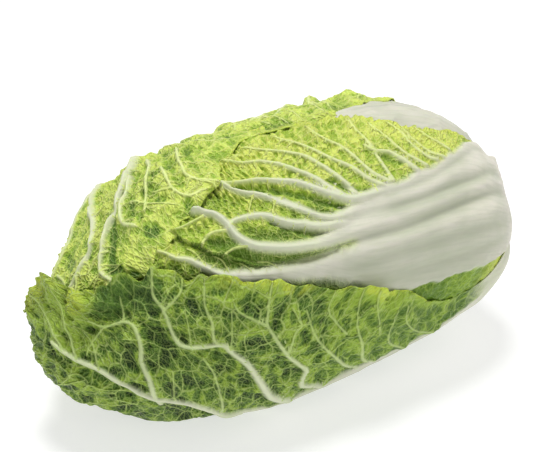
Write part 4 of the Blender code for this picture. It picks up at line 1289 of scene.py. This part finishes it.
# ---- back outer leaf: its top folds over the left end
def back_outer():
    leaf = Leaf("back_outer_leaf", 292, 279,
                ((0, 0.4), (0.35, 0.7), (0.55, 1.25), (1, 1.25)),
                ((-1, 0.35), (-0.3, 0.55), (0.1, 1.1), (1, 1.5)))
    big = [
        ([(0.262, -26), (0.249, -15), (0.235, -5), (0.224, 1), (0.205, 4), (0.191, 6), (0.170, 10), (0.153, 14)], 2.0, 1.2, 2.8, 1.6),
        ([(0.375, -50), (0.366, -42), (0.352, -34), (0.326, -22), (0.306, -12), (0.278, -2), (0.260, 2), (0.243, 9), (0.230, 15), (0.221, 22), (0.226, 30), (0.233, 35)], 2.7, 1.1, 3.6, 1.8),
        ([(0.322, -14), (0.306, -5), (0.288, 1), (0.279, 8), (0.278, 14), (0.288, 19)], 1.6, 1.0, 2.6, 1.5),
        ([(0.360, -24), (0.348, -11), (0.334, -2), (0.322, 6), (0.308, 15)], 1.2, 0.8, 2.0, 1.1),
        ([(0.357, -4), (0.353, 5), (0.351, 13), (0.361, 19), (0.381, 19)], 1.0, 0.8, 1.4, 0.9),
        ([(0.390, -12), (0.380, -3), (0.376, 4), (0.373, 9), (0.379, 13), (0.395, 17)], 1.0, 0.8, 1.5, 1.0),
    ]
    side = [
        ([(0.188, 8), (0.178, 15), (0.171, 23)], 0.8, 0.6, 1.0, 0.6),
        ([(0.300, 4), (0.313, 11), (0.330, 16), (0.344, 20)], 0.8, 0.6, 0.9, 0.6),
        ([(0.330, 8), (0.342, 10), (0.352, 13)], 0.7, 0.6, 0.8, 0.5),
        ([(0.240, 15), (0.222, 12), (0.205, 14)], 0.8, 0.6, 0.9, 0.5),
        ([(0.229, 24), (0.216, 22), (0.200, 24)], 0.7, 0.5, 0.8, 0.4),
        ([(0.410, -16), (0.425, -9), (0.44, -6)], 0.8, 0.6, 0.9, 0.5),
        ([(0.395, -30), (0.42, -20), (0.45, -14)], 1.0, 0.7, 1.2, 0.5),
        ([(0.43, -40), (0.47, -26), (0.50, -16)], 1.0, 0.7, 1.2, 0.5),
        ([(0.48, -45), (0.53, -30), (0.57, -16)], 1.0, 0.7, 1.2, 0.5),
        ([(0.54, -50), (0.60, -36), (0.63, -24)], 1.0, 0.7, 1.1, 0.5),
        ([(0.61, -56), (0.67, -42), (0.71, -32)], 1.0, 0.7, 1.1, 0.5),
        ([(0.318, -51), (0.285, -38), (0.262, -26)], 1.8, 1.6, 2.0, 2.4),
        ([(0.375, -50), (0.40, -60), (0.44, -66)], 2.4, 2.8, 3.0, 1.8),
        ([(0.17, -30), (0.165, -10), (0.150, 5)], 1.0, 0.6, 1.2, 0.6),
        ([(0.12, -30), (0.125, -10), (0.125, 8)], 0.9, 0.6, 1.0, 0.6),
    ]
    lines = big + side
    lines += lateral_lines(leaf, 9, 3, 1.1, 1.4, 0.10, 0.80, (-1,), 3)
    lines += lateral_lines(leaf, 5, 4, 1.1, 1.4, 0.10, 0.40, (1,), 3)[1:]
    lines += twigs(leaf, big, 72, 5.5, 7.0, 0.5, 0.9, 0.4, 0.2)
    leaf.veins(lines)
    half = np.interp(leaf.tt, [0, 0.1, 0.3, 0.5, 0.62, 0.7], [26, 25, 15, 6.0, 2.0, 0.5])
    wob = 2.2 * fbm(leaf.bare, 9.0, 43, 2)
    rib = step(half - np.abs(leaf.y) + wob * 0.6, -2.0, 2.5) * step(leaf.tt, 0.72, 0.60)
    # grooves beside the veins; their mask also paints shade into the tone
    painted_shade, groove = 0, 0
    for places, width, tall in (
            ([(0.277, -3), (0.268, 3), (0.259, 9), (0.249, 16), (0.240, 22), (0.238, 27)], 2.6, 3.2),
            ([(0.335, -16), (0.318, -6), (0.300, 5), (0.293, 13)], 2.0, 1.6),
            ([(0.225, -6), (0.214, 8), (0.215, 20)], 2.6, 1.5),
            ([(0.368, -8), (0.364, 4), (0.362, 13)], 2.0, 1.5),
            ([(0.395, -10), (0.392, 2), (0.388, 12)], 2.0, 1.4)):
        d = leaf.line_field(places, 12.0)[0]
        k = np.exp(-(d / width) ** 2)
        groove = groove + tall * k
        painted_shade = np.maximum(painted_shade, k * tall / 2.6)
    painted_shade = np.clip(painted_shade, 0, 1)
    common(leaf, 303, rib, 2.4, 5.4, 0.7, 16.0, 2.2, 11.0, 1.9, 1.2, 4.2, 1.0, 1.0, 0.85 * painted_shade)
    leaf.height -= groove * leaf.open
    near = step(leaf.u, 0.43, 0.38)
    ruffle(leaf, (("left", 0.3, 0.8, 1.0), ("right", -0.4 + 0.3 * near, 0.5 + 1.3 * near, 1.4 + 1.4 * near),
                  ("tip", 0.5, 0.8, 0)), 25)
    for u, a, size, out, shift in ((0.315, 31, 6, 2.4, 3.0), (0.340, 26, 4, -1.0, -3.0), (0.366, 25, 6, 2.4, 2.0),
                                   (0.395, 17, 5, 2.6, 2.6), (0.41, 12, 4, 0.0, -2.5), (0.29, 35, 5, -1.0, -2.0),
                                   (0.27, 38, 6, 1.5, 2.0), (0.44, 0, 6, 1.5, 2.5), (0.42, 6, 4, 1.0, -2.0)):
        lobe(leaf, u, a, size, out, shift)
    leaf.drape = np.maximum(leaf.drape, np.exp(-(leaf.right / 16) ** 2) * step(leaf.u, 0.40, 0.46) * leaf.open)
    leaf.drape = np.maximum(leaf.drape, 0.92 * np.exp(-(leaf.right / 10) ** 2) * leaf.open)
    leaf.height -= 1.2 * np.exp(-leaf.right / 5) * step(leaf.u, 0.24, 0.28) * step(leaf.u, 0.68, 0.62)
    leaf.height -= 1.0 * np.exp(-leaf.right / 5) * step(leaf.u, 0.29, 0.33) * step(leaf.u, 0.54, 0.48)
    leaf.slide += 6.0 * np.exp(-leaf.right / 12) * leaf.spot(0.272, 38, 15)
    leaf.slide += 2.6 * np.exp(-leaf.right / 10) * step(leaf.u, 0.28, 0.31) * step(leaf.u, 0.47, 0.43)
    leaf.slide += 3.6 * np.exp(-leaf.right / 10) * step(leaf.u, 0.45, 0.48) * step(leaf.u, 0.88, 0.82)
    # frills that stand up along the skyline
    sky = step(leaf.u, 0.40, 0.46) * step(leaf.u, 0.66, 0.62)
    leaf.height += sky * step(leaf.deg, -8, -20) * (1.8 * line_noise(leaf.xm, 12.0, 91)
                                                    + 1.3 * line_noise(leaf.xm, 5.0, 92) - 0.8)
    leaf.height -= 2.6 * step(leaf.u, 0.31, 0.20) * step(leaf.deg, -75, -45) * step(leaf.deg, 60, 30)
    leaf.height += 4.6 * leaf.spot(0.590, -24, 5) + 4.0 * leaf.spot(0.640, -22, 6) - 1.2 * leaf.spot(0.615, -22, 4)
    tone = 0.58 + 0.15 * fbm(leaf.bare, 20.0, 89, 2)
    # painted shade in the grooves beside the veins
    tone -= 0.66 * painted_shade
    tone -= 0.26 * leaf.spot(0.43, -8, 13) + 0.20 * leaf.spot(0.39, -16, 9) + 0.3 * leaf.spot(0.297, 27, 6)
    tone += 0.10 * leaf.spot(0.20, 10, 22)
    tone -= 0.20 * step(leaf.deg, -30, -60)
    leaf.data["tone"] = np.clip(tone, -0.2, 1)
    leaf.data["rim"] = (np.exp(-np.clip(leaf.right + 1.2 * noise(leaf.bare, 4.0, 19), 0, 99)
                               / (1.6 + 4.5 * step(leaf.u, 0.44, 0.50))) * 0.9)
    keep(leaf.finish(GREEN_FOLD), leaf.name)


# ---- top leaf: its white rib shows along the skyline
def top():
    leaf = Leaf("top_leaf", 200, 170)
    leaf.veins(lateral_lines(leaf, 9, 13, 1.0, 1.3))
    strip = [(0.935, -44), (0.80, -46), (0.66, -40), (0.60, -22), (0.55, -4), (0.545, 8), (0.566, 12), (0.60, 17), (0.63, 24), (0.72, 30), (0.80, 30), (0.935, 36)]
    inside = leaf.region(strip)
    rib = step(inside + 1.2 * fbm(leaf.bare, 7.0, 62, 2), -1.8, 2.6)
    common(leaf, 404, rib, 1.6, 6.2, 0.7, 26.0, 1.0, 4.8, 0.8)
    for places, width, tall in (([(0.93, 6), (0.80, 7), (0.70, 9), (0.62, 9)], 4.0, 1.1),
                                ([(0.93, -4), (0.80, -4), (0.70, -3), (0.62, -2)], 3.5, -1.0),
                                ([(0.93, -16), (0.80, -18), (0.70, -18)], 4.0, 1.0)):
        k = np.exp(-(leaf.line_field(places, 14.0, 3.0)[0] / width) ** 2)
        leaf.height += tall * k
        # the groove gets painted shade on the white rib, and the rest of the rib is greyed evenly by a little less
        if tall < 0:
            leaf.data["painted_shade"] = np.maximum(k * 0.8, 0.5)
    ruffle(leaf, (("left", 0.5, 0.8, 1.0), ("right", 0.2, 0.5, 1.0), ("tip", 0.4, 0.6, 0)), 35)
    leaf.data["tone"] = np.clip(0.60 + 0.14 * fbm(leaf.bare, 26.0, 90, 2), 0, 1)
    leaf.data["rim"] = leaf.data["rim"] * 0.4
    keep(leaf.finish(GREEN_BRIGHT), leaf.name)


def plain_leaf(name, rows, cols, seed, material, tone, count=9, sides=None,
               sink=1.8, widths=(24, 22, 13, 5, 1.5)):
    leaf = Leaf(name, rows, cols)
    leaf.veins(lateral_lines(leaf, count, seed, 1.05, 1.4))
    half = np.interp(leaf.tt, [0, 0.12, 0.35, 0.6, 0.85], widths)
    wob = 2.0 * fbm(leaf.bare, 9.0, seed + 43, 2)
    rib = step(half - np.abs(leaf.y) + wob * 0.6, -2.0, 2.5) * step(leaf.tt, 0.9, 0.7)
    common(leaf, seed * 7 + 1, rib, sink, 6.4, 0.7, 28.0, 1.2, 5.0, 0.9)
    ruffle(leaf, sides or (("left", 0.8, 1.4, 1.6), ("right", 0.8, 1.4, 1.6), ("tip", 0.6, 1.0, 0)),
           seed + 3)
    leaf.data["tone"] = np.clip(tone + 0.14 * fbm(leaf.bare, 30.0, seed + 50, 2), 0, 1)
    keep(leaf.finish(material), name)


front_outer()
main_front()
back_outer()
top()
plain_leaf("inner_front_leaf", 150, 130, 21, GREEN_BRIGHT, 0.50)
plain_leaf("underside_leaf", 200, 160, 22, GREEN_FOLD, 0.40)
plain_leaf("inner_back_leaf", 150, 120, 23, GREEN_BRIGHT, 0.52)


# ---- heart and stem
def heart_material():
    g = Nodes("packed_leaves")
    c = g.add("ShaderNodeTexCoord").outputs["Object"]
    n = g.noise(c, 60.0, 4.0, 0.6)
    g.put(g.bsdf.inputs["Base Color"], g.mix(g.ramp(n, 0.3, 0.7), lin(206, 212, 140), lin(228, 230, 180)))
    g.put(g.bsdf.inputs["Normal"], g.bump(n, 0.002, 0.6))
    g.bsdf.inputs["Roughness"].default_value = 0.5
    return g.material


def stem_material():
    """Cut stem: pale flesh with a darker dried rim, rings of fibre bundles
    and small cracks."""
    g = Nodes("cut_stem_flesh")
    r = g.attribute("from_centre")
    end = g.attribute("on_face")
    xyz = g.attribute("at", True)
    n = g.noise(xyz, 0.22, 4.0, 0.6)
    fine = g.noise(xyz, 1.1, 4.0, 0.65)
    spots = g.add("ShaderNodeTexVoronoi", feature="F1")
    g.put(spots.inputs["Vector"], xyz)
    spots.inputs["Scale"].default_value = 0.55
    dots = g.ramp(spots.outputs["Distance"], 0.15, 0.35, 1.0, 0.0)
    side = g.mix(g.ramp(fine, 0.3, 0.7), lin(222, 220, 196), lin(238, 236, 216))
    face = g.mix(g.ramp(n, 0.35, 0.65), lin(214, 196, 150), lin(228, 216, 180))
    ring = g.math("MULTIPLY", g.ramp(r, 0.50, 0.62), g.ramp(r, 0.80, 0.68))
    face = g.mix(g.math("MULTIPLY", dots, g.math("MULTIPLY", ring, 0.5)), face, lin(176, 150, 100))
    face = g.mix(g.math("MULTIPLY", g.ramp(r, 0.82, 0.98), 0.65), face, lin(168, 136, 86))
    face = g.mix(g.math("MULTIPLY", g.ramp(fine, 0.55, 0.75), 0.25), face, lin(160, 130, 84))
    g.put(g.bsdf.inputs["Base Color"], g.mix(end, side, face))
    h = g.math("ADD", g.math("MULTIPLY", fine, 0.5), g.math("MULTIPLY", dots, -0.2))
    g.put(g.bsdf.inputs["Normal"], g.bump(h, 0.001, 0.8))
    g.bsdf.inputs["Roughness"].default_value = 0.62
    return g.material


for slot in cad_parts["heart"].material_slots:
    slot.material = heart_material()


def stem():
    """The visible end of the stem, on top of its flare."""
    around, radial = 120, 34
    t = 0.985
    s = sum(c * t ** (k + 1) for k, c in enumerate(DROOP))
    cy = s * math.sin(DROOP_LEAN) + CENTRE_Y
    cz = s * math.cos(DROOP_LEAN) + AXIS_HEIGHT
    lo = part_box("cut_stem")[0][0]
    # profile from the inner end to the centre of the face: (x, radius)
    prof = [(lo, 0.030), (lo + 0.004, 0.030), (lo + 0.009, 0.029), (0.1345, 0.0280),
            (0.1380, 0.0266), (0.1405, 0.0238), (0.1425, 0.0205), (0.1442, 0.0186),
            (0.1455, 0.0178), (0.1461, 0.0168)]
    prof += [(0.1462 - 0.0008 * math.sin(q * math.pi), 0.0168 * (1 - q)) for q in
             np.linspace(0.06, 0.97, radial)]
    a = np.linspace(0, 2 * math.pi, around, endpoint=False)
    verts, face_r, on_face = [], [], []
    for k, (x, r) in enumerate(prof):
        q = np.stack([np.full(around, x * 1000), r * 1000 * np.cos(a), r * 1000 * np.sin(a)], -1)
        wob = 1 + 0.035 * noise(q * np.array([0.2, 1, 1]), 9.0, 5) + 0.012 * noise(q, 2.5, 6)
        flat = 1.0 if k >= 9 else 0.0
        dx = 0.0003 * noise(q, 3.0, 8) + 0.0002 * noise(q, 1.2, 9) - 0.0003
        rr = r * wob
        verts.append(np.stack([x + dx * flat, cy - rr * np.sin(a), cz + rr * np.cos(a)], -1))
        face_r.append(np.full(around, r / 0.0168))
        on_face.append(np.full(around, 1.0 if k >= 8 else 0.0))
    verts = np.concatenate(verts)
    n = len(prof)
    faces = []
    for i in range(n - 1):
        for j in range(around):
            j2 = (j + 1) % around
            faces.append((i * around + j, i * around + j2, (i + 1) * around + j2, (i + 1) * around + j))
    faces.append(tuple(reversed(range(around))))
    faces.append(tuple(range((n - 1) * around, n * around)))
    mesh = bpy.data.meshes.new("stem_end")
    mesh.from_pydata([tuple(map(float, p)) for p in verts], [], faces)
    for name, value in (("from_centre", np.concatenate(face_r)), ("on_face", np.concatenate(on_face))):
        mesh.attributes.new(name, "FLOAT", "POINT").data.foreach_set("value", value.astype(np.float32))
    mesh.attributes.new("at", "FLOAT_VECTOR", "POINT").data.foreach_set(
        "vector", (verts * 1000).astype(np.float32).reshape(-1))
    mesh.shade_smooth()
    ob = bpy.data.objects.new("stem_end", mesh)
    mesh.materials.append(stem_material())
    bpy.context.scene.collection.objects.link(ob)
    keep(ob, "cut_stem")


stem()

# ------------------------------------------------------- floor, light, camera
floor_mesh = bpy.data.meshes.new("floor")
floor_mesh.from_pydata([(-6, -6, 0), (6, -6, 0), (6, 6, 0), (-6, 6, 0)], [], [(0, 1, 2, 3)])
floor = bpy.data.objects.new("floor", floor_mesh)
bpy.context.scene.collection.objects.link(floor)
fm = Nodes("pale_floor")
fm.bsdf.inputs["Base Color"].default_value = (0.50, 0.50, 0.50, 1)
fm.bsdf.inputs["Emission Color"].default_value = (1, 1, 1, 1)
fm.bsdf.inputs["Emission Strength"].default_value = 0.62
fm.bsdf.inputs["Roughness"].default_value = 0.9
fm.bsdf.inputs["Specular IOR Level"].default_value = 0.1
floor_mesh.materials.append(fm.material)

world = bpy.data.worlds.new("studio")
world.use_nodes = True
world.node_tree.nodes["Background"].inputs[0].default_value = (1.0, 1.0, 1.0, 1)
sky = world.node_tree.nodes
height = sky.new("ShaderNodeSeparateXYZ")
fade = sky.new("ShaderNodeMapRange")
fade.inputs["From Min"].default_value = 0.02
fade.inputs["From Max"].default_value = 0.45
fade.inputs["To Min"].default_value = 0.95
fade.inputs["To Max"].default_value = 0.30
link = world.node_tree.links.new
link(sky.new("ShaderNodeTexCoord").outputs["Generated"], height.inputs[0])
link(height.outputs["Z"], fade.inputs["Value"])
link(fade.outputs[0], sky["Background"].inputs[1])
bpy.context.scene.world = world


def area_light(name, place, aim, size, power, colour=(1, 1, 1)):
    data = bpy.data.lights.new(name, "AREA")
    data.shape = "DISK"
    data.size = size
    data.energy = power
    data.color = colour
    ob = bpy.data.objects.new(name, data)
    bpy.context.scene.collection.objects.link(ob)
    ob.location = place
    d = np.array(place, float) - np.array(aim, float)
    ob.rotation_euler = direction(d)
    return ob


def direction(d):
    """Rotation that turns -Z away from d, with +Y up."""
    from mathutils import Vector
    return Vector(tuple(-d)).to_track_quat("-Z", "Y").to_euler()


area_light("key", (-0.05, 0.10, 1.45), (0, 0, 0.07), 0.55, 17)
area_light("fill", (0.5, -1.3, 0.7), (0, 0, 0.07), 0.9, 4.0)

AZ, EL = math.radians(26), math.radians(30)
toward = np.array([-math.sin(AZ) * math.cos(EL), -math.cos(AZ) * math.cos(EL), math.sin(EL)])
camera = bpy.data.cameras.new("camera")
camera.lens = 100
camera.sensor_width = 36
camera.shift_x = 0.0101
camera.shift_y = 0.0451
camera.clip_start = 0.01
cam = bpy.data.objects.new("camera", camera)
bpy.context.scene.collection.objects.link(cam)
cam.location = tuple(np.array([CENTRE_X, CENTRE_Y, AXIS_HEIGHT]) + toward * 0.8767)
cam.rotation_euler = direction(toward)
bpy.context.scene.camera = cam
bpy.context.scene.view_settings.view_transform = "Standard"
